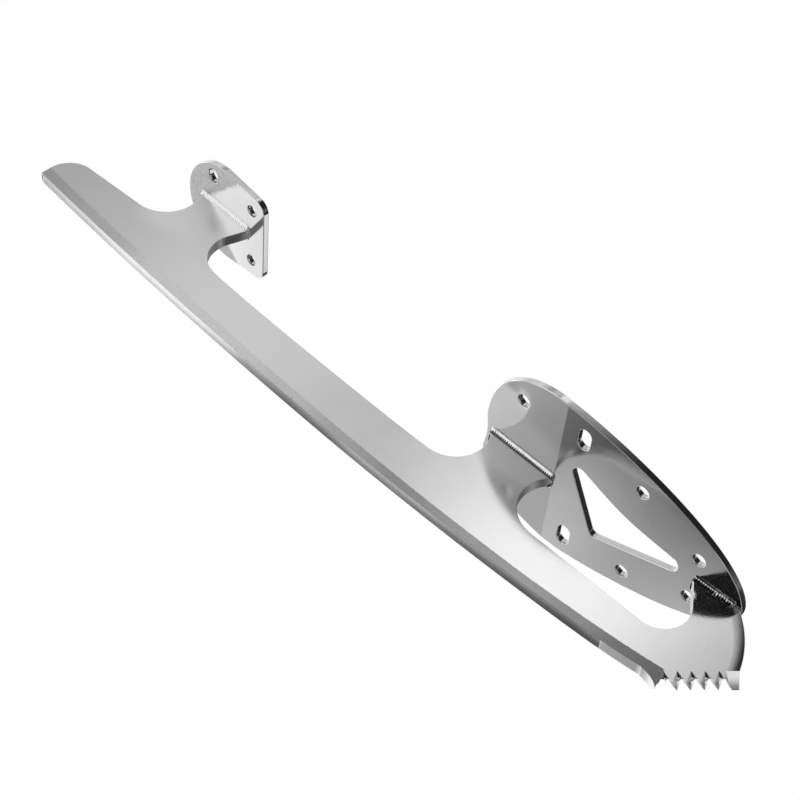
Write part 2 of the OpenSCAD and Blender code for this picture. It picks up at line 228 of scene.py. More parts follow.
NOSE_MID = arc_mid(NOSE_TOP, ROW_END, TOE_EDGE_R)

HEEL_DIR = (-turned(HEEL_PITCH)[0], turned(HEEL_PITCH)[1])
BEND_DIR = (-turned(SOLE_BEND)[0], turned(SOLE_BEND)[1])
LEAN_DIR = (turned(HEEL_LEAN)[1], turned(HEEL_LEAN)[0])
LEAN_FROM = along(WAIST_REAR_MID, (-turned(HEEL_LEAN)[0], turned(HEEL_LEAN)[1]), WAIST_REAR_R)
TURN_FROM = along(OPENING_FRONT_MID, turned(OPENING_FRONT_TURN), OPENING_FRONT_R)
TURN_DIR = (-turned(OPENING_FRONT_TURN)[1], turned(OPENING_FRONT_TURN)[0])

# Where the stanchions stand, measured towards the tail along the undersides of the plates
HEEL_FOOT = (
    line_on_line(HEEL_AT, HEEL_DIR, LEAN_FROM, LEAN_DIR),
    line_into_circle(HEEL_AT, HEEL_DIR, TAIL_GAP_MID, TAIL_GAP_R),
)
REAR_FOOT = (0.0, line_into_circle((0, 0), BEND_DIR, WAIST_FRONT_MID, WAIST_FRONT_R))
FRONT_FOOT = (BRAZE_BACK - SOLE_FRONT, line_on_line((0, 0), (-1, 0), TURN_FROM, TURN_DIR))

HEEL_PLACE = Matrix.Translation((HEEL_AT[0], 0, HEEL_AT[1])) @ Matrix.Rotation(
    math.radians(HEEL_PITCH), 4, "Y")
REAR_PLACE = Matrix.Rotation(math.radians(SOLE_BEND), 4, "Y")


def along_row(x, z):
    """How far along the row of teeth a point lies from its start."""
    return (x - ROW_START[0]) * ROW_DIR[0] + (z - ROW_START[1]) * ROW_DIR[1]


def below_row(x, z):
    """How far out from the line of the teeth's roots a point lies."""
    return (x - ROW_START[0]) * ROW_OUT[0] + (z - ROW_START[1]) * ROW_OUT[1]


def rocker(x):
    """Middle and radius of the arc of the running edge at a place along the blade."""
    if x < REAR_ROCKER_X:
        return REAR_MID, REAR_ROCKER_R
    if x < TOE_ROCKER_X:
        return MAIN_MID, MAIN_ROCKER_R
    return TOE_MID, TOE_ROCKER_R


def edge_z(x):
    """Height of the running edge at a place along the blade."""
    mid, r = rocker(x)
    return mid[1] - math.sqrt(r * r - (x - mid[0]) ** 2)


def runner_outline():
    """The runner's outline without its running edge, from the tail over the top to the drag pick."""
    heel_line = along(HEEL_AT, (-HEEL_DIR[1], HEEL_DIR[0]), FILM)
    rear_line = along((0, 0), (-BEND_DIR[1], BEND_DIR[0]), FILM)
    heel_back = along(heel_line, HEEL_DIR, line_into_circle(heel_line, HEEL_DIR, TAIL_GAP_MID, TAIL_GAP_R))
    heel_fore = along(heel_line, HEEL_DIR, line_on_line(heel_line, HEEL_DIR, LEAN_FROM, LEAN_DIR))
    rear_reach = line_into_circle(rear_line, BEND_DIR, WAIST_FRONT_MID, WAIST_FRONT_R)
    rear_back = along(rear_line, BEND_DIR, rear_reach)
    gap_end = angle_of(heel_back, TAIL_GAP_MID)
    if gap_end >= 180:
        gap_end -= 360
    dip = arc(WAIST_REAR_MID, WAIST_REAR_R, 180 - HEEL_LEAN, WAIST_REAR_END)
    rise = arc(WAIST_FRONT_MID, WAIST_FRONT_R, 270, angle_of(rear_back, WAIST_FRONT_MID) + 360)
    opening_top = 180 - math.degrees(math.asin((-FILM - OPENING_REAR_MID[1]) / OPENING_REAR_R))
    turn_end = line_on_line(TURN_FROM, TURN_DIR, (0, -FILM), (1, 0))
    root_depth = TOOTH_DEPTH - TIP_FLAT
    front_tip = along(along(ROW_START, ROW_DIR, ROW_LEN - TIP_FLAT), ROW_OUT, root_depth)
    row_low = along(along(ROW_START, ROW_DIR, ROW_FOOT_SHARE * TOOTH_PITCH), ROW_OUT, root_depth)
    drag = arc(DRAG_MID, DRAG_R, 90, 90 - DRAG_TIP_ANGLE)
    return (
        arc((TAIL_X + TAIL_CORNER_R, -TAIL_TOP - TAIL_CORNER_R), TAIL_CORNER_R, 180, 90)
        + arc(TAIL_GAP_MID, TAIL_GAP_R, -90, gap_end)
        + [heel_fore]
        + dip
        + curve(dip[-1], along(dip[-1], turned(WAIST_SLOPE), WAIST_EASE),
                along(rise[0], (-1, 0), WAIST_EASE), rise[0])[1:]
        + rise[1:]
        + [(0, -FILM)]
        + arc(OPENING_REAR_MID, OPENING_REAR_R, opening_top, OPENING_LOW_ANGLE)[1:]
        + arc(OPENING_FRONT_MID, OPENING_FRONT_R, OPENING_LOW_ANGLE, 360 + OPENING_FRONT_TURN)
        + [along(TURN_FROM, TURN_DIR, turn_end), (NOSE_TOP[0] + 0.1, -FILM)]
        + arc_through(NOSE_TOP, ROW_END, TOE_EDGE_R)[1:]
        + [front_tip, row_low, ROW_START, along(drag[-1], (1, 0), TIP_FLAT)]
        + drag[::-1]
    )


def in_place(mesh, turn=Matrix.Identity(4)):
    """Moves a mesh drawn in millimetres from the datum into the frame of the whole part."""
    mesh.transform(Matrix.Translation(DATUM) @ Matrix.Scale(MM, 4) @ turn)


def link(name, mesh):
    """A new object in the scene that holds a mesh."""
    made = bpy.data.objects.new(name, mesh)
    bpy.context.scene.collection.objects.link(made)
    return made


def baked(obj):
    """Turns an object with its modifiers into one with a plain mesh."""
    bpy.context.view_layer.update()
    graph = bpy.context.evaluated_depsgraph_get()
    mesh = bpy.data.meshes.new_from_object(obj.evaluated_get(graph), depsgraph=graph)
    mesh.name = obj.name
    obj.modifiers.clear()
    old = obj.data
    obj.data = mesh
    bpy.data.meshes.remove(old)


def hand_over(obj, node, material):
    """Gives a finished piece its material and ties it to the frame in the place of a node."""
    obj.data.materials.clear()
    obj.data.materials.append(material)
    for face in obj.data.polygons:
        face.material_index = 0
    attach(obj, "root")
    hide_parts(node)


@contextlib.contextmanager
def editing(mesh):
    """Opens a mesh for edits, and writes them back when they are done."""
    work = bmesh.new()
    work.from_mesh(mesh)
    yield work
    work.to_mesh(mesh)
    work.free()


def stored(work, name):
    """Turns a mesh that was drawn face by face into one that an object can hold."""
    made = bpy.data.meshes.new(name)
    work.to_mesh(made)
    work.free()
    return made


def add(tree, kind, inputs=None, **settings):
    """Adds a node, sets its options, and gives its inputs values, or links from sockets or nodes."""
    made = tree.nodes.new(kind)
    for name, value in settings.items():
        setattr(made, name, value)
    for key, value in (inputs or {}).items():
        if isinstance(value, Value):
            value = value.socket
        if isinstance(value, bpy.types.Node):
            value = value.outputs[0]
        if isinstance(value, bpy.types.NodeSocket):
            tree.links.new(value, made.inputs[key])
        else:
            made.inputs[key].default_value = value
    return made


class Value:
    """A number in a node tree, on which sums are written as on a plain number."""

    def __init__(self, tree, socket):
        self.tree, self.socket = tree, socket

    def maths(self, operation, *others):
        """A Math node on this number and, where it takes one, another."""
        inputs = dict(enumerate((self, *others)))
        return Value(self.tree, add(self.tree, "ShaderNodeMath", inputs, operation=operation).outputs[0])

    def __add__(self, other):
        return self.maths("ADD", other)

    def __sub__(self, other):
        return self.maths("SUBTRACT", other)

    def __rsub__(self, other):
        return self.maths("MULTIPLY", -1.0) + other

    def __mul__(self, other):
        return self.maths("MULTIPLY", other)

    def __truediv__(self, other):
        return self.maths("DIVIDE", other)

    def __gt__(self, other):
        return self.maths("GREATER_THAN", other)

    def __lt__(self, other):
        return self.maths("LESS_THAN", other)

    def __abs__(self):
        return self.maths("ABSOLUTE")

    __radd__, __rmul__ = __add__, __mul__


class Wiring:
    """Short calls that put noise, blends and runs of brightness into a node tree."""

    def __init__(self, tree):
        self.tree = tree
        self.here = None

    def value(self, kind, inputs=None, output=0, **settings):
        """An output of a new node, as a number."""
        return Value(self.tree, add(self.tree, kind, inputs, **settings).outputs[output])

    def vector(self, **parts):
        """A vector with the parts X, Y and Z that are given, and 0 for the others."""
        return add(self.tree, "ShaderNodeCombineXYZ", parts).outputs[0]

    def parts(self, vector):
        """The three parts of a vector."""
        made = add(self.tree, "ShaderNodeSeparateXYZ", {0: vector})
        return [Value(self.tree, part) for part in made.outputs]

    def span(self, value, low, high, start, end):
        """Carries a value from one range into another, held at the ends."""
        return self.value("ShaderNodeMapRange", {
            "Value": value, "From Min": low, "From Max": high, "To Min": start, "To Max": end})

    def step(self, value, low, high):
        """0 below the low value and 1 above the high one, with a smooth way between."""
        return self.value("ShaderNodeMapRange", {"Value": value, "From Min": low, "From Max": high},
                          interpolation_type="SMOOTHSTEP")

    def between(self, value, borders):
        """1 between the middle two of four borders and 0 outside the outer two."""
        return self.step(value, *borders[:2]) - self.step(value, *borders[2:])

    def blend(self, share, a, b):
        """The first value where the share is 0, and the second where it is 1."""
        return self.value("ShaderNodeMix", {0: share, 2: a, 3: b}, data_type="FLOAT")

    def over(self, share, looks, others):
        """Several values, such as a finish, with others over them where the share is 1."""
        return [self.blend(share, a, b) for a, b in zip(looks, others)]

    def run(self, value, stops, ends=None, most=1.0):
        """A smooth run of brightness over a value, given as pairs of the value and the brightness."""
        low, high = ends or (stops[0][0], stops[-1][0])
        made = self.value("ShaderNodeValToRGB", {"Fac": self.span(value, low, high, 0.0, 1.0)})
        line = made.socket.node.color_ramp
        line.interpolation = "EASE"
        while len(line.elements) < len(stops):
            line.elements.new(0.5)
        for element, (place, grey) in zip(line.elements, stops):
            element.position = (place - low) / (high - low)
            element.color = (grey / most, grey / most, grey / most, 1)
        return made * most

    def place(self):
        """The place on the piece in millimetres from the datum, as its three parts."""
        here = add(self.tree, "ShaderNodeTexCoord").outputs["Object"]
        moved = add(self.tree, "ShaderNodeVectorMath", {0: here, 1: tuple(DATUM)}, operation="SUBTRACT")
        self.here = add(self.tree, "ShaderNodeVectorMath", {0: moved, "Scale": 1 / MM},
                        operation="SCALE").outputs[0]
        return self.parts(self.here)

    def facing(self):
        """The direction in which the surface faces, as its three parts."""
        return self.parts(add(self.tree, "ShaderNodeTexCoord").outputs["Normal"])

    def noise(self, scale, stretch=(1, 1, 1), detail=2.0, roughness=0.5):
        """Soft random variation round 0, about -0.5 to 0.5, with a scale in waves per millimetre."""
        fitted = add(self.tree, "ShaderNodeVectorMath", {0: self.here, 1: stretch}, operation="MULTIPLY")
        return self.value("ShaderNodeTexNoise", {
            "Vector": fitted, "Scale": scale, "Detail": detail, "Roughness": roughness}) - 0.5

    def grey(self, value):
        """A grey colour of that brightness."""
        return add(self.tree, "ShaderNodeCombineColor", {0: value, 1: value, 2: value}).outputs[0]


INPUT_KINDS = {float: "Float", int: "Int", tuple: "Vector", type(None): "Object"}


def new_tree(name, inputs):
    """An empty Geometry Nodes tree with a geometry input, named inputs with their defaults, and an output."""
    tree = bpy.data.node_groups.new(name, "GeometryNodeTree")
    tree.interface.new_socket("Geometry", in_out="INPUT", socket_type="NodeSocketGeometry")
    for label, default in inputs:
        kind = INPUT_KINDS[type(default)]
        socket = tree.interface.new_socket(label, in_out="INPUT", socket_type="NodeSocket" + kind)
        if default is not None:
            socket.default_value = default
    tree.interface.new_socket("Geometry", in_out="OUTPUT", socket_type="NodeSocketGeometry")
    return tree, tree.nodes.new("NodeGroupInput"), tree.nodes.new("NodeGroupOutput")


def use_tree(obj, tree, values):
    """Puts a tree on an object as a modifier, with values for its named inputs."""
    modifier = obj.modifiers.new(tree.name, "NODES")
    modifier.node_group = tree
    found = {s.name: s.identifier for s in tree.interface.items_tree if s.in_out == "INPUT"}
    for name, value in values.items():
        modifier[found[name]] = value


def end_tree(tree, out, geometry, material):
    """Ends a tree in real geometry with its material."""
    real = add(tree, "GeometryNodeRealizeInstances", {"Geometry": geometry})
    last = add(tree, "GeometryNodeSetMaterial", {"Geometry": real, "Material": material})
    tree.links.new(last.outputs[0], out.inputs[0])


def attribute(wire, name):
    """A number that is stored at each point."""
    return wire.value("GeometryNodeInputNamedAttribute", {"Name": name}, data_type="FLOAT")


def joined(tree, *parts):
    """Several geometries as one."""
    made = add(tree, "GeometryNodeJoinGeometry")
    for part in parts:
        tree.links.new(part.outputs[0], made.inputs[0])
    return made.outputs[0]


def round_edges(obj, width, segments, method):
    """Rounds the edges of a piece that are sharp, or those that carry a weight."""
    modifier = obj.modifiers.new("Rounded edges", "BEVEL")
    modifier.width, modifier.segments = width, segments
    modifier.limit_method = method
    modifier.angle_limit = math.radians(35)
    modifier.use_clamp_overlap = False


def even_normals(obj):
    """Shades the flat faces of a smoothly shaded piece flat beside their rounded edges."""
    modifier = obj.modifiers.new("Even normals", "WEIGHTED_NORMAL")
    modifier.mode = "FACE_AREA"
    modifier.weight = 100
    modifier.thresh = 0.0001
    modifier.keep_sharp = True


# The runner
def runner_mesh(thickness, hollow_r, edge_land, hollow_end_x, columns=12, spacing=1.5, end_step=0.1):
    """The runner's blank with the hollow ground along its running edge."""
    half = thickness / 2
    inner = half - edge_land
    level = math.sqrt(hollow_r**2 - inner**2)
    across = [-half] + [inner * (2 * i / columns - 1) for i in range(columns + 1)] + [half]
    count = math.ceil((DRAG_START_X - TAIL_X) / spacing)
    stations = [DRAG_START_X + (TAIL_X - DRAG_START_X) * i / count for i in range(count + 1)]
    stations = [x for x in stations if abs(x - hollow_end_x) > 4 * end_step]
    stations = sorted(stations + [hollow_end_x, hollow_end_x + end_step], reverse=True)
    mesh = bmesh.new()

    def vert(x, y, z):
        return mesh.verts.new((x, y, z))

    rows = []
    for x in stations:
        mid, _ = rocker(x)
        z = edge_z(x)
        up = Vector((mid[0] - x, 0, mid[1] - z)).normalized()
        deep = 1 if x < hollow_end_x + end_step / 2 else 0
        cuts = [max(0.0, math.sqrt(hollow_r**2 - y * y) - level) * deep for y in across]
        rows.append([vert(x + up.x * cut, y, z + up.z * cut) for y, cut in zip(across, cuts)])
    outline = runner_outline()
    near, far = ([vert(x, y, z) for x, z in outline] for y in (-half, half))
    for a, b in zip(rows, rows[1:]):
        for i in range(len(across) - 1):
            mesh.faces.new((a[i], a[i + 1], b[i + 1], b[i]))
    mesh.faces.new(rows[-1] + [far[0], near[0]])
    for i in range(len(outline) - 1):
        mesh.faces.new((near[i], far[i], far[i + 1], near[i + 1]))
    mesh.faces.new([near[-1], far[-1]] + rows[0][::-1])
    mesh.faces.new([row[0] for row in rows] + near)
    mesh.faces.new([row[-1] for row in rows][::-1] + far[::-1])
    bmesh.ops.recalc_face_normals(mesh, faces=mesh.faces)
    weigh_edges(mesh)
    return stored(mesh, "runner_blank")


def weigh_edges(mesh, least_angle=40, clear_of_teeth=0.6, past_drag=2, near_edge=0.3, last_x=60, keen=0.35):
    """Gives the runner's sharp edges their rounding: less along the hollow, none at the teeth."""
    weight = mesh.edges.layers.float.new("bevel_weight_edge")
    for edge in mesh.edges:
        if not edge.is_manifold or edge.calc_face_angle() <= math.radians(least_angle):
            continue
        middle = (edge.verts[0].co + edge.verts[1].co) / 2
        toothed = below_row(middle.x, middle.z) > -clear_of_teeth
        if not toothed or middle.x < DRAG_START_X + past_drag:
            edge[weight] = 1.0
        low = all(abs(v.co.z - edge_z(min(v.co.x, last_x))) < near_edge for v in edge.verts)
        if low and middle.x < DRAG_START_X:
            edge[weight] = keen


def sharp_teeth(mesh, angle=25, inside=0.1):
    """Marks the edges between the teeth's flat faces as sharp, so that each face is shaded alone."""
    with editing(mesh) as work:
        for edge in work.edges:
            middle = (edge.verts[0].co + edge.verts[1].co) / 2
            sharp = edge.is_manifold and edge.calc_face_angle() > math.radians(angle)
            if sharp and below_row(middle.x, middle.z) > -inside:
                edge.smooth = False


def pick_cutter(thickness):
    """The block that slopes the front pick from the near side down to its far edge."""
    near, deep = -thickness / 2, TOOTH_DEPTH + CUT_PAST
    far = thickness / 2 - PICK_EDGE
    profile = [(near - CUT_PAST, 0), (near, 0), (far, -TOOTH_DEPTH), (far, -deep), (near - CUT_PAST, -deep)]
    start = (TEETH + 0.5) * TOOTH_PITCH
    mesh = bmesh.new()
    ends = [[mesh.verts.new((x, y, z)) for y, z in profile] for x in (start, start + ROW_LEN)]
    mesh.faces.new(ends[0])
    mesh.faces.new(ends[1])
    for i in range(len(profile)):
        k = (i + 1) % len(profile)
        mesh.faces.new((ends[0][i], ends[0][k], ends[1][k], ends[1][i]))
    bmesh.ops.recalc_face_normals(mesh, faces=mesh.faces)
    return stored(mesh, "pick_cutter")


def teeth_tree(material):
    """Cuts the valleys between the teeth, one row slanting each way, and the slope of the front pick."""
    tree, given, out = new_tree("Toe teeth", [
        ("Pitch", TOOTH_PITCH),
        ("Depth", TOOTH_DEPTH),
        ("Teeth", TEETH),
        ("Slant", 0.0),
        ("Row start", (0.0, 0.0, 0.0)),
        ("Row slope", 0.0),
        ("Pick cutter", None),
    ])
    wire = Wiring(tree)
    pitch, depth, teeth, slant, slope = (
        Value(tree, given.outputs[name]) for name in ("Pitch", "Depth", "Teeth", "Slant", "Row slope"))
    deep = depth + CUT_PAST
    half = pitch * 0.5 * slant.maths("COSINE") * deep / depth

    # A prism over a triangle of radius 1, which is 1.5 high
    prism = add(tree, "GeometryNodeMeshCylinder", {"Vertices": 3, "Radius": 1.0, "Depth": CUT_LENGTH})
    scale = wire.vector(X=deep / 1.5, Y=half / math.sin(math.radians(60)), Z=1.0)
    sized = add(tree, "GeometryNodeTransform", {
        "Geometry": prism.outputs["Mesh"], "Translation": wire.vector(X=deep / -1.5), "Scale": scale})
    quarter = math.radians(-90)
    valley = add(tree, "GeometryNodeTransform", {
        "Geometry": sized, "Rotation": (quarter, quarter, 0)}).outputs[0]
    cutters = []
    for lean in (1, -1):
        line = add(tree, "GeometryNodeMeshLine", {
            "Count": teeth + 1.0, "Start Location": wire.vector(X=pitch * (0.25 * lean)),
            "Offset": wire.vector(X=pitch)})
        cutters.append(add(tree, "GeometryNodeInstanceOnPoints", {
            "Points": line.outputs["Mesh"], "Instance": valley,
            "Rotation": wire.vector(Z=slant * -float(lean))}).outputs[0])
    pick = add(tree, "GeometryNodeObjectInfo", {"Object": given.outputs["Pick cutter"]})
    solid = given.outputs["Geometry"]
    for cutter in cutters + [pick.outputs["Geometry"]]:
        real = add(tree, "GeometryNodeRealizeInstances", {"Geometry": cutter})
        placed = add(tree, "GeometryNodeTransform", {
            "Geometry": real, "Translation": given.outputs["Row start"],
            "Rotation": wire.vector(Y=slope * -1.0)})
        cut = add(tree, "GeometryNodeMeshBoolean", {
            "Mesh 1": solid, "Mesh 2": placed, "Self Intersection": True},
            operation="DIFFERENCE", solver="EXACT")
        solid = cut.outputs["Mesh"]
    end_tree(tree, out, solid, material)
    return tree


# The plates
def dent(y):
    """How far the middle of the sole plate's rear end is drawn in."""
    if abs(y) >= SOLE_DENT_W / 2:
        return 0.0
    return SOLE_DENT * (1 + math.cos(2 * math.pi * y / SOLE_DENT_W)) / 2


def leaf(width, peak, front, steps=56):
    """One side of the sole plate's outline, in two halves that both begin at its widest place."""
    turns = [math.sin(math.radians(90 * i / steps)) for i in range(steps + 1)]
    ahead = [(peak + (SOLE_FRONT - peak) * u, width * math.sqrt(1 - u**front)) for u in turns]
    back = []
    for i in range(steps + 1):
        v = 1 - (i / steps) ** 2
        reach = (SOLE_REAR + peak) * (1 - v**REAR_SQUARE) ** (1 / REAR_FULL)
        back.append((dent(width * v) + peak - reach, width * v))
    return ahead, back


def sole_loops(near_w=33.0, far_w=26.0, near_peak=-3.0, far_peak=5.0):
    """The outline of the sole plate and of the cut-out in it."""
    near_ahead, near_back = leaf(-near_w, near_peak, NEAR_FULL)
    far_ahead, far_back = leaf(far_w, far_peak, FAR_FULL)
    outline = near_ahead[::-1] + near_back[1:] + far_back[-2:0:-1] + far_ahead[:-1]
    near, far, front, bow = (8.1, -9.7), (16.6, 8.5), (41.3, -0.6), (24.0, -5.4)
    near_r, far_r, front_r = 2.6, 2.0, 2.9
    back_side, near_side, far_side, step = 147, 302, 72, 8
    cut_out = (
        arc(near, near_r, back_side, near_side, step)
        + curve(along(near, turned(near_side), near_r), bow, (bow[0] + 2, bow[1] + 0.3),
                along(front, turned(near_side), front_r))[1:-1]
        + arc(front, front_r, near_side - 360, far_side, step)
        + arc(far, far_r, far_side, back_side, step)
    )
    return [outline, cut_out]


def heel_loop(r=18.2, front_w=33.2, corner_r=4.4):
    """The outline of the heel plate: a round rear end and two rounded front corners."""
    mid = (r - HEEL_LEN, 0)
    side = 90 - math.degrees(math.atan((r - front_w / 2) / (HEEL_LEN - r - corner_r)))
    corner = (-corner_r, front_w / 2 - corner_r)
    return [
        arc(mid, r, side, 360 - side)
        + arc((corner[0], -corner[1]), corner_r, -side, 0, 6)
        + arc(corner, corner_r, 0, side, 6)
    ]


def plate_drawing(name, loops, pairs, hole_diameter):
    """Edges along the outline and the cut-outs, and a loose point at each hole with its slot's run."""
    points, edges = [], []
    for loop in loops:
        first = len(points)
        points += [(x, y, 0) for x, y in loop]
        edges += [(first + i, first + (i + 1) % len(loop)) for i in range(len(loop))]
    holes = [(x, y, slot - hole_diameter if slot else 0.0) for x, *both, slot in pairs for y in both]
    is_hole = [0.0] * len(points) + [1.0] * len(holes)
    runs = [0.0] * len(points) + [run for _, _, run in holes]
    mesh = bpy.data.meshes.new(name)
    mesh.from_pydata(points + [(x, y, 0) for x, y, _ in holes], edges, [])
    mesh.attributes.new("hole", "FLOAT", "POINT").data.foreach_set("value", is_hole)
    mesh.attributes.new("run", "FLOAT", "POINT").data.foreach_set("value", runs)
    return mesh


def plate_tree(material):
    """Fills a plate's outline, leaves a round hole or a slot at each point, and gives it its thickness."""
    tree, given, out = new_tree("Plate with screw holes", [
        ("Thickness", 2.2),
        ("Hole diameter", 4.2),
        ("Hole sides", 64),
    ])
    wire = Wiring(tree)
    parts = add(tree, "GeometryNodeSeparateGeometry", {
        "Geometry": given.outputs["Geometry"], "Selection": attribute(wire, "hole") > 0.5}, domain="POINT")
    outline = add(tree, "GeometryNodeMeshToCurve", {"Mesh": parts.outputs["Inverted"]})

    # Each ring's two halves are moved apart by the run of its slot
    ring = add(tree, "GeometryNodeCurvePrimitiveCircle", {
        "Resolution": given.outputs["Hole sides"],
        "Radius": Value(tree, given.outputs["Hole diameter"]) * 0.5}, mode="RADIUS")
    _, y, _ = wire.parts(add(tree, "GeometryNodeInputPosition").outputs[0])
    ring = add(tree, "GeometryNodeStoreNamedAttribute", {
        "Geometry": ring.outputs["Curve"], "Name": "side", "Value": y}, data_type="FLOAT", domain="POINT")
    spots = add(tree, "GeometryNodeMeshToPoints", {"Mesh": parts.outputs["Selection"]})
    rings = add(tree, "GeometryNodeInstanceOnPoints", {
        "Points": spots, "Instance": ring})
    rings = add(tree, "GeometryNodeRealizeInstances", {"Geometry": rings})
    shift = attribute(wire, "side").maths("SIGN") * (attribute(wire, "run") * 0.5)
    rings = add(tree, "GeometryNodeSetPosition", {
        "Geometry": rings, "Offset": wire.vector(Y=shift)})
    filled = add(tree, "GeometryNodeFillCurve", {"Curve": joined(tree, outline, rings)}, mode="NGONS")
    raised = add(tree, "GeometryNodeExtrudeMesh", {
        "Mesh": filled, "Offset Scale": given.outputs["Thickness"], "Individual": False},
        mode="FACES")
    under = add(tree, "GeometryNodeFlipFaces", {"Mesh": filled})
    merged = add(tree, "GeometryNodeMergeByDistance", {
        "Geometry": joined(tree, raised, under), "Distance": 0.001})
    end_tree(tree, out, merged.outputs[0], material)
    return tree


def bend_up(mesh, degrees, radius, bends=4):
    """Bends the part of a plate behind the datum up, with a soft bend of that radius."""
    reach = radius * math.radians(degrees)
    with editing(mesh) as work:
        for i in range(bends + 1):
            everything = work.verts[:] + work.edges[:] + work.faces[:]
            bmesh.ops.bisect_plane(work, geom=everything, plane_co=(-reach * i / bends, 0, 0),
                                   plane_no=(1, 0, 0), dist=1e-5)
        for v in work.verts:
            back = -v.co.x
            if back <= 0:
                continue
            a = min(back, reach) / radius
            rest = max(0.0, back - reach)
            low_x = -radius * math.sin(a) - rest * math.cos(a)
            low_z = radius * (1 - math.cos(a)) + rest * math.sin(a)
            v.co.x, v.co.z = low_x + v.co.z * math.sin(a), low_z + v.co.z * math.cos(a)


def make_plate(node, drawing, tree, settings, shape, material):
    """Builds a plate from its drawing, then bends or tilts it into place."""
    obj = link("blade_" + node, drawing)
    use_tree(obj, tree, {
        "Thickness": settings.thickness / MM,
        "Hole diameter": settings.hole_diameter / MM,
        "Hole sides": settings.hole_sides,
    })
    baked(obj)
    shape(obj.data)
    obj.data.shade_smooth()
    round_edges(obj, settings.rounding, 3, "ANGLE")
    even_normals(obj)
    baked(obj)
    hand_over(obj, node, material)


# The braze
def seam_section(thickness, fillet, film):
    """The section of a seam of braze: a film on the runner and a fillet down each side."""
    mid, low = thickness / 2, -film - fillet
    side = mid + fillet
    line = arc((side, low), fillet, 90, 180, 9)
    fillet_line = [(y, z, math.sin(math.pi * i / (len(line) - 1))) for i, (y, z) in enumerate(line)]
    half = [(side, 0.0, 0.0)] + fillet_line + [(mid, -film, 0.0)]
    whole = half + [(-y, z, swell) for y, z, swell in half[::-1]]
    mesh = bpy.data.meshes.new("seam_section")
    mesh.from_pydata([(0, y, z) for y, z, _ in whole], [], [])
    swells = [swell for _, _, swell in whole]
    mesh.attributes.new("swell", "FLOAT", "POINT").data.foreach_set("value", swells)
    return mesh


def seam_tree(material):
    """Sweeps a seam's section along the foot of a stanchion and raises the ripples of the braze."""
    tree, given, out = new_tree("Braze seam", [
        ("Length", 25.0),
        ("Stations", 100),
        ("Ripple pitch", 0.8),
        ("Ripple height", 0.1),
        ("Fullness", 0.2),
        ("Bumpiness", 0.1),
        ("End rounding", 0.8),
        ("Seed", 1.0),
    ])
    wire = Wiring(tree)
    section, length, stations, pitch, ripple_height, fullness, bumpiness, rounding, seed = (
        Value(tree, socket) for socket in given.outputs[:9])
    count = wire.value("GeometryNodeAttributeDomainSize", {"Geometry": section}, "Point Count")
    around = count + 1.0
    grid = add(tree, "GeometryNodeMeshGrid", {"Vertices X": stations, "Vertices Y": around})
    index = wire.value("GeometryNodeInputIndex")
    station = ((index + 0.5) / around).maths("FLOOR")
    point = (index - station * around).maths("MODULO", count)

    def sampled(value, kind):
        return wire.value("GeometryNodeSampleIndex", {"Geometry": section, "Value": value, "Index": point},
                          data_type=kind, domain="POINT")

    position = add(tree, "GeometryNodeInputPosition").outputs[0]
    _, y, z = wire.parts(sampled(position, "FLOAT_VECTOR"))
    swell = sampled(attribute(wire, "swell"), "FLOAT")
    x = station / (stations - 1.0) * length
    from_end = x.maths("MINIMUM", length - x)
    open_end = wire.span(from_end, 0.0, rounding, 1.0, 0.0)
    full = (1.0 - open_end * open_end).maths("MAXIMUM", 0.0).maths("SQRT")
    side = y.maths("SIGN")

    # The bumps of the two sides are read far apart, so that they differ
    ripple = abs((x * math.pi / pitch).maths("SINE"))
    bumps = wire.value("ShaderNodeTexNoise", {
        "Vector": wire.vector(X=x, Y=side * 7.0, Z=z), "W": seed, "Scale": 1.3, "Detail": 2.0},
        noise_dimensions="4D")
    raised = fullness + ripple * ripple_height + (bumps - 0.5) * bumpiness
    lift = raised * swell * full
    lean = math.sqrt(0.5)
    moved = add(tree, "GeometryNodeSetPosition", {
        "Geometry": grid.outputs["Mesh"],
        "Position": wire.vector(X=x, Y=y * full + side * lift * lean, Z=z * full - lift * lean)})
    merged = add(tree, "GeometryNodeMergeByDistance", {"Geometry": moved, "Distance": 0.0005})
    end_tree(tree, out, merged.outputs[0], material)
    return tree


def make_seam(node, foot, place, tree, settings, bumpiness, material):
    """Builds one seam along the foot of a stanchion, and seats it under its plate."""
    braze = settings.braze
    obj = link("blade_" + node, seam_section(settings.runner.thickness / MM, braze.fillet / MM, FILM))
    length = foot[1] - foot[0]
    use_tree(obj, tree, {
        "Length": length,
        "Stations": int(length / braze.ripple_pitch * MM * STATIONS_PER_RIPPLE),
        "Ripple pitch": braze.ripple_pitch / MM,
        "Ripple height": braze.ripple_height / MM,
        "Fullness": braze.fullness / MM,
        "Bumpiness": bumpiness,
        "End rounding": END_ROUNDING,
        "Seed": braze.seed,
    })
    baked(obj)
    with editing(obj.data) as work:
        bmesh.ops.recalc_face_normals(work, faces=work.faces)
    in_place(obj.data, place @ Matrix.Translation((-foot[1], 0, 0)))
    obj.data.shade_smooth()
    hand_over(obj, node, material)


# The finishes: the brightness and roughness of each kind of surface, and the brightest of all
BRIGHTEST = 0.95
SIDE_GREY, SIDE_ROUGH = 0.88, 0.13
WALL_GREY, WALL_ROUGH = 0.72, 0.36
PLATE_GREY, PLATE_ROUGH = 0.88, 0.12
STRIP_ROUGH, GROUND_ROUGH = 0.34, 0.34
FLAT_GREY, FLAT_ROUGH = 0.8, 0.3
# The tooth tips' grey is a painted dark reflection
TOOTH_GREY, TOOTH_TIP_REFLECTION_GREY, TOOTH_ROUGH = 0.82, 0.25, 0.1
# The bead grey is painted shade along the foot of the braze
BRAZE_GREY, BRAZE_ROUGH, BEAD_SHADE_GREY = 0.92, 0.2, 0.16
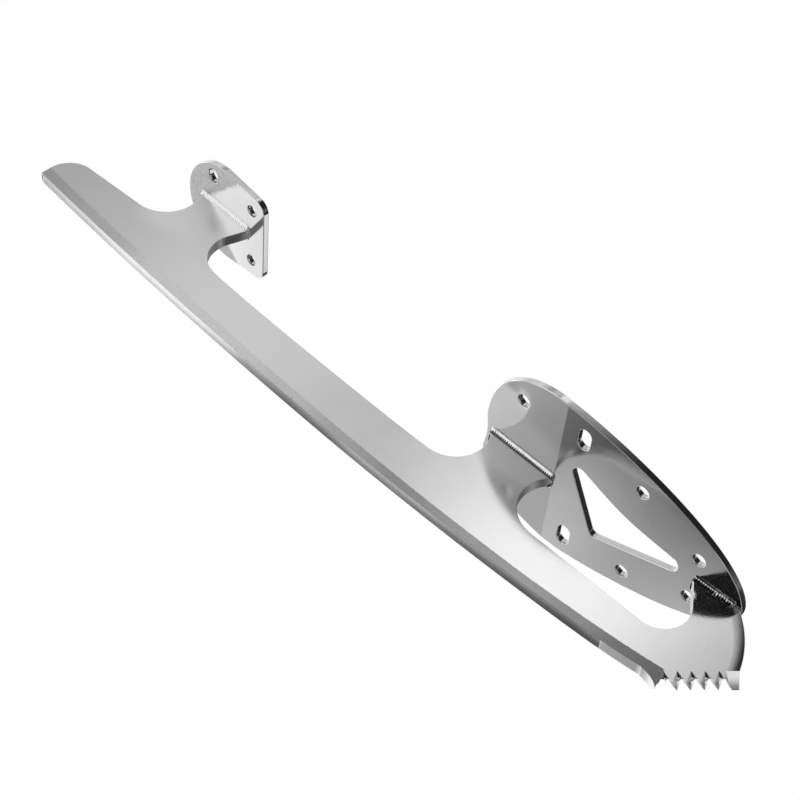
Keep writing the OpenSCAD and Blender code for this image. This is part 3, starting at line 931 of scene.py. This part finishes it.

# Brightness of the ground strip and of the ground hollow along the blade, from the tail to the toe: the
# ground steel's grey with painted reflections that lighten and darken it along the blade
STRIP_GREY_AND_REFLECTION = [(-201, 0.5), (-165, 0.65), (-140, 0.92), (-105, 0.9), (-75, 0.74), (-55, 0.56), (-30, 0.4),
              (0, 0.51), (18, 0.54), (35, 0.44), (50, 0.29), (64, 0.24)]
GROUND_GREY_AND_REFLECTION = [(-201, 0.44), (-180, 0.58), (-150, 0.85), (-120, 0.95), (-105, 0.8), (-92, 0.42), (-75, 0.26),
               (-60, 0.3), (-45, 0.5), (-25, 0.5), (0, 0.34), (20, 0.27), (35, 0.2), (44, 0.26)]

# The ground strip: its height, what its front adds to it, and the blur of its border, each as two places
# along the blade and the values there
STRIP_TOP, STRIP_TOP_FRONT, STRIP_BLUR = (-190, -20, 3.9, 2.7), (15, 45, 0, 0.5), (-190, -20, 1.2, 0.18)

# Where along and up the stanchions the sides are more satin
HEEL_SATIN = (-172, -160, -134, -126)
SOLE_SATIN = (-40, -30, -2, 4)
SATIN_UP = (-14, -5)

# How far in from its front edge the nose rolls over, and where along the blade that begins
NOSE_ROLL, NOSE_SLOPE, NOSE_FROM = 3.2, 0.14, 55.0

# The darker, rougher rear corners of the heel plate: the place and blur of their border, and their finish
DULL_BORDER, DULL_BLUR, DULL_GREY, DULL_ROUGH = -157.8, 1.5, 0.5, 0.3

# The painted shade of the beads at the foot of the braze: their pitch and size, and the place and blur of
# their edge
BEAD_PITCH, BEAD_SIZE, BEAD_EDGE, BEAD_BLUR = 0.75, 0.14, 2.35, 0.12

# The front seam's painted dark reflection: its brightness, and how far out from the runner's middle its
# painted highlight line lies
FRONT_DARK_REFLECTION_GREY, FRONT_HIGHLIGHT_LINE = 0.03, 2.62


def new_metal(name):
    """An empty metal, with its node tree, its shader and the wiring calls."""
    material = bpy.data.materials.new(name)
    material.use_nodes = True
    shader = material.node_tree.nodes["Principled BSDF"]
    shader.inputs["Metallic"].default_value = 1.0
    return material, shader, Wiring(material.node_tree)


def finish_metal(wire, shader, value, roughness, height):
    """Joins a metal's brightness, roughness and height in millimetres to its shader."""
    bump = add(wire.tree, "ShaderNodeBump", {"Height": height, "Strength": 1.0, "Distance": MM})
    wire.tree.links.new(wire.grey(value.maths("MINIMUM", BRIGHTEST)), shader.inputs["Base Color"])
    wire.tree.links.new(roughness.socket, shader.inputs["Roughness"])
    wire.tree.links.new(bump.outputs[0], shader.inputs["Normal"])


def runner_metal(hollow_end_x):
    """Satin nickel on the sides, a ground strip along the edge, and bare ground steel in the hollow, their
    grey painted with reflections along the blade, and painted dark reflection towards the teeth's tips.
    """
    material, shader, wire = new_metal("Runner nickel and ground steel")
    blend, noise, over, span, step = wire.blend, wire.noise, wire.over, wire.span, wire.step
    x, _, z = wire.place()
    _, face_y, face_z = wire.facing()
    flat_side = step(abs(face_y), 0.6, 0.8)

    def rise(mid, r):
        across, up = x - mid[0], z - mid[1]
        return r - (across * across + up * up).maths("SQRT")

    height = blend(x > REAR_ROCKER_X, rise(REAR_MID, REAR_ROCKER_R), rise(MAIN_MID, MAIN_ROCKER_R))
    height = blend(x > TOE_ROCKER_X, height, rise(TOE_MID, TOE_ROCKER_R))
    grain = noise(3.0, detail=3.0, roughness=0.7)
    cloud = noise(0.07, detail=3.0)
    rubbed = noise(1.0, (0.15, 1.0, 2.5), detail=3.0)
    mottle = noise(1.1, (1.0, 1.0, 1.6), detail=4.0, roughness=0.65)
    lines = noise(1.0, (0.02, 7.0, 0.02), detail=5.0, roughness=0.75)
    patches = noise(0.5, (0.6, 1.0, 0.6), detail=4.0, roughness=0.6)
    sheared = noise(1.0, (1.6, 0.2, 1.6), detail=4.0, roughness=0.6)

    # The satin sides, which roll over towards the nose, and the outline's narrow walls
    to_nose = span(rise(NOSE_MID, TOE_EDGE_R), 0.0, NOSE_ROLL, 1.0, 0.0) * (x > NOSE_FROM)
    roll = to_nose * to_nose * (-NOSE_SLOPE * NOSE_ROLL)
    satin = (wire.between(x, HEEL_SATIN) + wire.between(x, SOLE_SATIN)) * step(z, *SATIN_UP)
    side = (SIDE_GREY + grain * 0.12 + cloud * 0.06 + satin * 0.05,
            SIDE_ROUGH + rubbed * 0.06 + cloud * 0.06 + satin * 0.2,
            grain * 0.004 + rubbed * 0.002 + roll)
    wall = (WALL_GREY + sheared * 0.25, WALL_ROUGH + sheared * 0.2, sheared * 0.05)
    look = over(flat_side, wall, side)

    # The ground strip, with a blurred upper border that widens to the tail, and painted reflections along the
    # blade in its grey
    top = span(x, *STRIP_TOP) + span(x, *STRIP_TOP_FRONT)
    above = (height + mottle * 0.5 - top) / span(x, *STRIP_BLUR)
    before_row = 1.0 - step(along_row(x, z), -0.1, 0.5)
    strip = (1.0 - step(above, -0.5, 0.5)) * before_row * flat_side
    look = over(strip, look, (
        wire.run(x, STRIP_GREY_AND_REFLECTION) * (1.0 + mottle * 0.7), STRIP_ROUGH + mottle * 0.15, mottle * 0.03))

    # The hollow, ground lengthwise, with painted reflections along the blade in its grey, and the plated flat
    # ahead of it
    under = step(face_z * -1.0, 0.5, 0.7) * (height < 0.8)
    look = over(under * (x < hollow_end_x), look, (
        wire.run(x, GROUND_GREY_AND_REFLECTION) * (1.0 + (lines * 0.8 + patches * 0.4)), GROUND_ROUGH + patches * 0.25,
        lines * 0.02))
    look = over(under * (x > hollow_end_x), look, (FLAT_GREY + lines * 0.25, FLAT_ROUGH, lines * 0.012))

    # The cut faces of the teeth, bright from the plating, with painted dark reflection towards the tips
    below = below_row(x, z)
    tooth = step(below, -0.3, 0.0) * step(along_row(x, z), -0.1, 0.1) * (abs(face_y) < 0.9)
    tooth_grey_and_reflection = blend(step(below, 0.8, 3.4), TOOTH_GREY, TOOTH_TIP_REFLECTION_GREY)
    look = over(tooth, look, (tooth_grey_and_reflection, TOOTH_ROUGH, grain * 0.004))
    finish_metal(wire, shader, *look)
    return material


def plate_metal():
    """Polished nickel, faintly cloudy, with sheared rims and a darker, rougher, hand-brushed zone on the heel
    plate.
    """
    material, shader, wire = new_metal("Plate nickel")
    x, y, _ = wire.place()
    _, _, face_z = wire.facing()
    grain = wire.noise(2.6, detail=4.0, roughness=0.7)
    cloud = wire.noise(0.1, detail=3.0)
    brushed = wire.noise(1.0, (0.25, 2.2, 1.0), detail=3.0)
    sheared = wire.noise(1.0, (1.3, 1.3, 0.25), detail=4.0, roughness=0.6)
    mottle = wire.noise(0.8, detail=4.0, roughness=0.65)
    strokes = wire.noise(1.0, (0.5, 0.5, 1.0), detail=4.0, roughness=0.7)
    polished = (PLATE_GREY + grain * 0.05 + cloud * 0.05, PLATE_ROUGH + cloud * 0.08,
                grain * 0.002 + brushed * 0.001)
    dull = (DULL_GREY + mottle * 0.35 + strokes * 0.3, DULL_ROUGH + strokes * 0.2, strokes * 0.03)
    rim = (WALL_GREY + sheared * 0.2, PLATE_ROUGH + sheared * 0.08, sheared * 0.015)

    # The rear corners of the heel plate, darker and rougher, brushed round the slots
    corner = x - abs(y) + mottle * 3.0
    look = wire.over(wire.step(corner, DULL_BORDER - DULL_BLUR, DULL_BORDER + DULL_BLUR), dull, polished)
    look = wire.over(wire.step(abs(face_z), 0.7, 0.9), rim, look)
    finish_metal(wire, shader, *look)
    return material


def braze_metal():
    """Bright silver braze, with painted shade of a row of small beads at its foot, and a pitted front seam
    with painted dark reflection and painted highlight lines.
    """
    material, shader, wire = new_metal("Silver braze")
    step = wire.step
    x, y, _ = wire.place()
    grain = wire.noise(2.5, detail=4.0, roughness=0.7)
    pits = step(wire.noise(1.6), 0.12, 0.22)
    value = BRAZE_GREY - pits * 0.45 + grain * 0.12
    # Painted shade: a dark band with a scalloped edge along the foot of the fillet, where the beads would be
    # shaded
    beads = (x * (2 * math.pi / BEAD_PITCH)).maths("SINE") * BEAD_SIZE
    foot = 1.0 - step(abs(y) - beads, BEAD_EDGE - BEAD_BLUR, BEAD_EDGE + BEAD_BLUR)
    value = wire.blend(foot * step(x, -100.0, -60.0), value, BEAD_SHADE_GREY)

    # The front seam carries a painted dark reflection, with a painted highlight line down each side and
    # brighter spots at its front
    line = 1.0 - step(abs(abs(y) - FRONT_HIGHLIGHT_LINE), 0.08, 0.22)
    spots = step(wire.noise(0.9, detail=3.0, roughness=0.6), -0.02, 0.2) * step(x, 54.0, 58.0)
    front = FRONT_DARK_REFLECTION_GREY + (line * 0.5).maths("MAXIMUM", spots * 0.7)
    value = wire.blend(step(x, 20.0, 40.0), value, front)
    finish_metal(wire, shader, value, BRAZE_ROUGH + grain * 0.2, grain * 0.03 - pits * 0.05)
    return material


class BladeRunnerSettings(bpy.types.PropertyGroup):
    """Sizes of the runner."""

    thickness: bpy.props.FloatProperty(
        name="Thickness", description="Thickness of the runner", default=0.0038, min=0.0034,
        max=0.0042, unit="LENGTH", precision=4)
    rounding: bpy.props.FloatProperty(
        name="Edge rounding", description="Width of the rounding along the runner's outline",
        default=0.00015, min=0.00005, max=0.0004, unit="LENGTH", precision=5)
    hollow_r: bpy.props.FloatProperty(
        name="Hollow radius", description="Radius of the hollow ground along the running edge",
        default=0.0127, min=0.009, max=0.02, unit="LENGTH", precision=4)
    edge_land: bpy.props.FloatProperty(
        name="Land", description="Width of the land beside the hollow", default=0.0001,
        min=0.00008, max=0.0002, unit="LENGTH", precision=5)
    hollow_end_x: bpy.props.FloatProperty(
        name="Hollow end", description="From the datum forward to where the hollow ends in a step",
        default=0.044, min=0.04, max=0.05, unit="LENGTH", precision=4)


class BladePlateSettings(bpy.types.PropertyGroup):
    """Sizes of the two plates."""

    thickness: bpy.props.FloatProperty(
        name="Thickness", description="Thickness of both plates", default=0.0022, min=0.002,
        max=0.003, unit="LENGTH", precision=4)
    rounding: bpy.props.FloatProperty(
        name="Edge rounding", description="Width of the rounding along the edges and holes",
        default=0.00025, min=0.0001, max=0.0005, unit="LENGTH", precision=5)
    hole_diameter: bpy.props.FloatProperty(
        name="Hole diameter", description="Diameter of the screw holes and width of the slots",
        default=0.0042, min=0.0038, max=0.0046, unit="LENGTH", precision=4)
    hole_sides: bpy.props.IntProperty(
        name="Hole sides", description="Number of sides of a round hole", default=64, min=24, max=128)


class BladeBrazeSettings(bpy.types.PropertyGroup):
    """Sizes of the seams of braze."""

    fillet: bpy.props.FloatProperty(
        name="Fillet", description="Width and height of the fillet down each side of the runner",
        default=0.0012, min=0.0008, max=0.0016, unit="LENGTH", precision=4)
    fullness: bpy.props.FloatProperty(
        name="Fullness", description="How far the middle of the fillet stands out",
        default=0.00008, min=0, max=0.0004, unit="LENGTH", precision=5)
    ripple_pitch: bpy.props.FloatProperty(
        name="Ripple pitch", description="Distance from ripple to ripple along a seam",
        default=0.0008, min=0.0005, max=0.002, unit="LENGTH", precision=5)
    ripple_height: bpy.props.FloatProperty(
        name="Ripple height", description="Height of the ripples", default=0.00008,
        min=0, max=0.0002, unit="LENGTH", precision=5)
    seed: bpy.props.FloatProperty(
        name="Seed", description="Picks the pattern of the bumps", default=3.0, min=0, max=100)


class BladeStageSettings(bpy.types.PropertyGroup):
    """Floor and camera."""

    floor_colour: bpy.props.FloatVectorProperty(
        name="Floor colour", description="Colour of the floor", subtype="COLOR", size=3,
        default=(0.85, 0.85, 0.85), min=0, max=1)
    camera_place: bpy.props.FloatVectorProperty(
        name="Camera place", description="Where the camera stands", subtype="TRANSLATION", size=3,
        default=(0.223688548, -0.380490744, -0.249933071), precision=4)
    camera_turn: bpy.props.FloatVectorProperty(
        name="Camera turn", description="How the camera is turned", subtype="EULER", size=3,
        default=(math.radians(136.00852), math.radians(-41.97209), math.radians(-5.50623)))
    focal_length: bpy.props.FloatProperty(
        name="Focal length", description="Focal length of the lens on a 36 mm sensor",
        default=0.078694, min=0.02, max=0.2, unit="CAMERA")


class BladeSettings(bpy.types.PropertyGroup):
    """All settings of the blade."""

    runner: bpy.props.PointerProperty(type=BladeRunnerSettings)
    plates: bpy.props.PointerProperty(type=BladePlateSettings)
    braze: bpy.props.PointerProperty(type=BladeBrazeSettings)
    stage: bpy.props.PointerProperty(type=BladeStageSettings)


class SKATE_OT_runner(bpy.types.Operator):
    """Builds the runner with its hollow and its teeth"""

    bl_idname = "skate_blade.runner"
    bl_label = "Runner"

    def execute(self, context):
        settings = context.scene.skate_blade.runner
        thickness, hollow_end_x = settings.thickness / MM, settings.hollow_end_x / MM
        material = runner_metal(hollow_end_x)
        runner = link("blade_runner", runner_mesh(
            thickness, settings.hollow_r / MM, settings.edge_land / MM, hollow_end_x))
        cutter = link("pick_cutter", pick_cutter(thickness))
        round_edges(runner, settings.rounding / MM, 2, "WEIGHT")
        use_tree(runner, teeth_tree(material), {
            "Pitch": TOOTH_PITCH,
            "Depth": TOOTH_DEPTH,
            "Teeth": TEETH,
            "Slant": math.atan(TOOTH_PITCH / 2 / (thickness + 2 * CROSS_OUT)),
            "Row start": (ROW_START[0], 0.0, ROW_START[1]),
            "Row slope": math.radians(ROW_SLOPE),
            "Pick cutter": cutter,
        })
        baked(runner)
        bpy.data.objects.remove(cutter)
        runner.data.shade_smooth()
        sharp_teeth(runner.data)
        in_place(runner.data)
        even_normals(runner)
        baked(runner)
        hand_over(runner, "runner", material)
        return {"FINISHED"}


class SKATE_OT_plates(bpy.types.Operator):
    """Builds the sole plate and the heel plate"""

    bl_idname = "skate_blade.plates"
    bl_label = "Plates"

    def execute(self, context):
        settings = context.scene.skate_blade.plates
        material = plate_metal()
        tree = plate_tree(material)
        hole = settings.hole_diameter / MM

        def bent(mesh):
            bend_up(mesh, SOLE_BEND, SOLE_BEND_R)
            in_place(mesh)

        def tilted(mesh):
            in_place(mesh, HEEL_PLACE)

        sole = plate_drawing("sole_drawing", sole_loops(), SOLE_HOLES, hole)
        heel = plate_drawing("heel_drawing", heel_loop(), HEEL_HOLES, hole)
        make_plate("sole_plate", sole, tree, settings, bent, material)
        make_plate("heel_plate", heel, tree, settings, tilted, material)
        return {"FINISHED"}


class SKATE_OT_braze(bpy.types.Operator):
    """Builds the three seams of braze between the runner and the plates"""

    bl_idname = "skate_blade.braze"
    bl_label = "Braze"

    def execute(self, context):
        settings = context.scene.skate_blade
        material = braze_metal()
        tree = seam_tree(material)
        seams = (("heel_braze", HEEL_FOOT, HEEL_PLACE, 0.1),
                 ("sole_rear_braze", REAR_FOOT, REAR_PLACE, 0.1),
                 ("sole_front_braze", FRONT_FOOT, Matrix.Identity(4), 0.3))
        for node, foot, place, bumpiness in seams:
            make_seam(node, foot, place, tree, settings, bumpiness, material)
        return {"FINISHED"}


# Light over the directions, in degrees: how far a direction turns from straight across the blade
# towards the toe, and how high it rises. Each list has pairs of the angle and the brightness, none of
# them above the most.
LIGHT_MOST = 2.0
NEAR_HIGH_LIGHT = [
    (-80, 0.7), (-62, 0.85), (-54, 0.7), (-47, 0.42), (-42.4, 0.4), (-40, 0.52), (-38.5, 0.62), (-36, 0.7),
    (-33, 0.66), (-30.2, 0.53), (-28.5, 0.48), (-26.7, 0.56), (-24.9, 0.8), (-23, 1.05), (-20.5, 1.11),
    (-17, 1.03), (-14.9, 0.66), (-13.6, 0.5), (-12, 0.44), (-6, 0.36), (0, 0.2), (5, 0.07), (10, 0.02),
    (58, 0.02), (75, 0.1), (90, 0.2),
]
NEAR_LOW_LIGHT = [
    (-80, 0.8), (-60, 1.1), (-46, 1.4), (-40, 1.25), (-35, 0.65), (-30, 0.43), (-27, 0.27), (-24, 0.13),
    (-20.5, 0.02), (-18, 0.003), (0, 0.003), (20, 0.05), (44, 0.2), (50, 0.85), (58, 0.95), (66, 0.5),
    (90, 0.6),
]
FAR_LOW_LIGHT = [
    (-90, 0.5), (-60, 0.5), (-46, 0.42), (-42, 0.34), (-40, 0.2), (-38.4, 0.06), (-37.3, 0.06), (-36.9, 0.1),
    (-36.5, 0.26), (-36.1, 0.4), (-35.6, 0.5), (-34.3, 0.54), (-33.5, 0.62), (-32.5, 0.64), (-29, 0.66),
    (-26.5, 0.7), (-25, 0.82), (-22, 1.3), (-18, 1.5), (-6, 1.5), (8, 1.2),
]
FAR_SIDE_LIGHT = [
    (-90, 1.6), (-60, 1.4), (-46, 1.0), (-39, 1.0), (-37, 0.7), (-35, 0.62), (-33, 0.9), (-31, 1.05),
    (-29.5, 0.9), (-27.5, 0.62), (-25.5, 0.62), (-24, 0.85), (-22, 1.0), (-20.5, 0.92), (-19, 0.7),
    (-17.5, 0.8), (-15.5, 1.0), (-12, 0.8), (0, 0.6), (15, 0.42), (60, 0.42), (90, 0.6),
]
NEAR_FLOOR_LIGHT, DIM_FLOOR_LIGHT = 1.1, 0.15
FAR_DIM_LIGHT, FAR_PANEL_LIGHT, TOP_LIGHT = 0.22, 0.02, 0.9

# The borders of the floor's light, of the low and the high light on each side, of the top light, and
# of the two sides
FLOOR_DOWN, FLOOR_ACROSS = (-52, -44), (-28, -20)
NEAR_LEVEL, FAR_LEVEL, TOP_LEVEL = (-12, 12), (-2, 10), (62, 80)
SIDES_MEET = (-0.12, 0.12)

# The borders of the dim part, of the dark panel and of the bright card on the far side
DIM_UP, DIM_ACROSS = (20, 28), (-42, -36, 10, 20)
PANEL_UP, PANEL_ACROSS = (-16, -8, 38, 43), (8, 16)
CARD_UP, CARD_ACROSS = (16, 20, 27, 30), (37, 40, 54, 60)


def sky(tree):
    """How bright the soft light is in every direction: panels above and below, on the near and far side."""
    wire = Wiring(tree)
    step, blend, between = wire.step, wire.blend, wire.between
    x, y, z = wire.parts(add(tree, "ShaderNodeTexCoord").outputs["Generated"])
    degrees = 180 / math.pi
    height = z.maths("ARCSINE") * degrees
    near_turn = x.maths("ARCTAN2", y * -1.0) * degrees
    far_turn = x.maths("ARCTAN2", y) * degrees
    near_high = wire.run(near_turn, NEAR_HIGH_LIGHT, (-90, 90), LIGHT_MOST)
    near_low = wire.run(near_turn, NEAR_LOW_LIGHT, (-90, 90), LIGHT_MOST)
    far_side = wire.run(far_turn, FAR_SIDE_LIGHT, (-90, 90), LIGHT_MOST)
    far_low = wire.run(height, FAR_LOW_LIGHT, (-90, 10), LIGHT_MOST) * far_side
    floor_light = blend(step(near_turn, *FLOOR_ACROSS), NEAR_FLOOR_LIGHT, DIM_FLOOR_LIGHT)
    near_low = blend(step(height, *FLOOR_DOWN), floor_light, near_low)
    near = blend(step(height, *NEAR_LEVEL), near_low, near_high)
    dim = step(height, *DIM_UP) * between(far_turn, DIM_ACROSS)
    far = blend(step(height, *FAR_LEVEL), far_low, blend(dim, 1.0, FAR_DIM_LIGHT))
    panel = between(height, PANEL_UP) * step(far_turn, *PANEL_ACROSS)
    card = between(height, CARD_UP) * between(far_turn, CARD_ACROSS)
    far = blend(card, blend(panel, far, FAR_PANEL_LIGHT), 1.0)
    whole = blend(step(y, *SIDES_MEET), near, far)
    return wire.grey(blend(step(height, *TOP_LEVEL), whole, TOP_LIGHT))


# How far the floor reaches each way and how far it lies under the blade, in metres, and its roughness
FLOOR_REACH, FLOOR_DROP, FLOOR_ROUGH = 4.0, 0.0002, 0.8


class SKATE_OT_stage(bpy.types.Operator):
    """Makes the pale floor, the soft light and the camera"""

    bl_idname = "skate_blade.stage"
    bl_label = "Stage"

    def execute(self, context):
        settings = context.scene.skate_blade.stage
        world = bpy.data.worlds.new("Soft studio")
        context.scene.world = world
        world.use_nodes = True
        tree = world.node_tree
        light = tree.nodes["Background"]
        tree.links.new(sky(tree), light.inputs["Color"])
        plain = add(tree, "ShaderNodeBackground", {"Color": (1, 1, 1, 1)})
        seen = add(tree, "ShaderNodeLightPath").outputs["Is Camera Ray"]
        both = add(tree, "ShaderNodeMixShader", {0: seen, 1: light, 2: plain})
        tree.links.new(both.outputs[0], tree.nodes["World Output"].inputs["Surface"])

        floor_mesh = bpy.data.meshes.new("floor")
        signs = ((-1, -1), (1, -1), (1, 1), (-1, 1))
        floor_mesh.from_pydata([(FLOOR_REACH * a, FLOOR_REACH * b, 0) for a, b in signs], [], [(0, 1, 2, 3)])
        floor = link("floor", floor_mesh)
        floor.location.z = -FLOOR_DROP
        material = bpy.data.materials.new("Pale floor")
        material.use_nodes = True
        tree = material.node_tree
        shader = tree.nodes["Principled BSDF"]
        shader.inputs["Base Color"].default_value = (*settings.floor_colour, 1)
        shader.inputs["Roughness"].default_value = FLOOR_ROUGH
        back = add(tree, "ShaderNodeNewGeometry").outputs["Backfacing"]
        clear = add(tree, "ShaderNodeBsdfTransparent")
        both = add(tree, "ShaderNodeMixShader", {0: back, 1: shader, 2: clear})
        tree.links.new(both.outputs[0], tree.nodes["Material Output"].inputs["Surface"])
        floor_mesh.materials.append(material)
        floor.visible_glossy = False

        camera = bpy.data.objects.new("camera", bpy.data.cameras.new("camera"))
        context.scene.collection.objects.link(camera)
        camera.location = settings.camera_place
        camera.rotation_euler = settings.camera_turn
        camera.data.lens = settings.focal_length / MM
        camera.data.clip_start = 0.01
        context.scene.camera = camera
        context.scene.view_settings.view_transform = "Standard"
        return {"FINISHED"}


class SKATE_PT_panel(bpy.types.Panel):
    """Lists the steps that build the blade"""

    bl_label = "Skate Blade"
    bl_idname = "SKATE_PT_panel"
    bl_space_type = "VIEW_3D"
    bl_region_type = "UI"
    bl_category = "Skate Blade"

    def draw(self, context):
        for step in STEPS:
            self.layout.operator(step.bl_idname)


STEPS = (SKATE_OT_runner, SKATE_OT_plates, SKATE_OT_braze, SKATE_OT_stage)
CLASSES = (BladeRunnerSettings, BladePlateSettings, BladeBrazeSettings, BladeStageSettings, BladeSettings,
           *STEPS, SKATE_PT_panel)


def register():
    """Makes the classes and the settings known to Blender."""
    for known in CLASSES:
        bpy.utils.register_class(known)
    bpy.types.Scene.skate_blade = bpy.props.PointerProperty(type=BladeSettings)


def unregister():
    """Takes the settings and the classes away again."""
    del bpy.types.Scene.skate_blade
    for known in reversed(CLASSES):
        bpy.utils.unregister_class(known)


def main():
    """Builds the whole blade."""
    register()
    bpy.ops.skate_blade.runner()
    bpy.ops.skate_blade.plates()
    bpy.ops.skate_blade.braze()
    bpy.ops.skate_blade.stage()


if __name__ == "__main__":
    main()
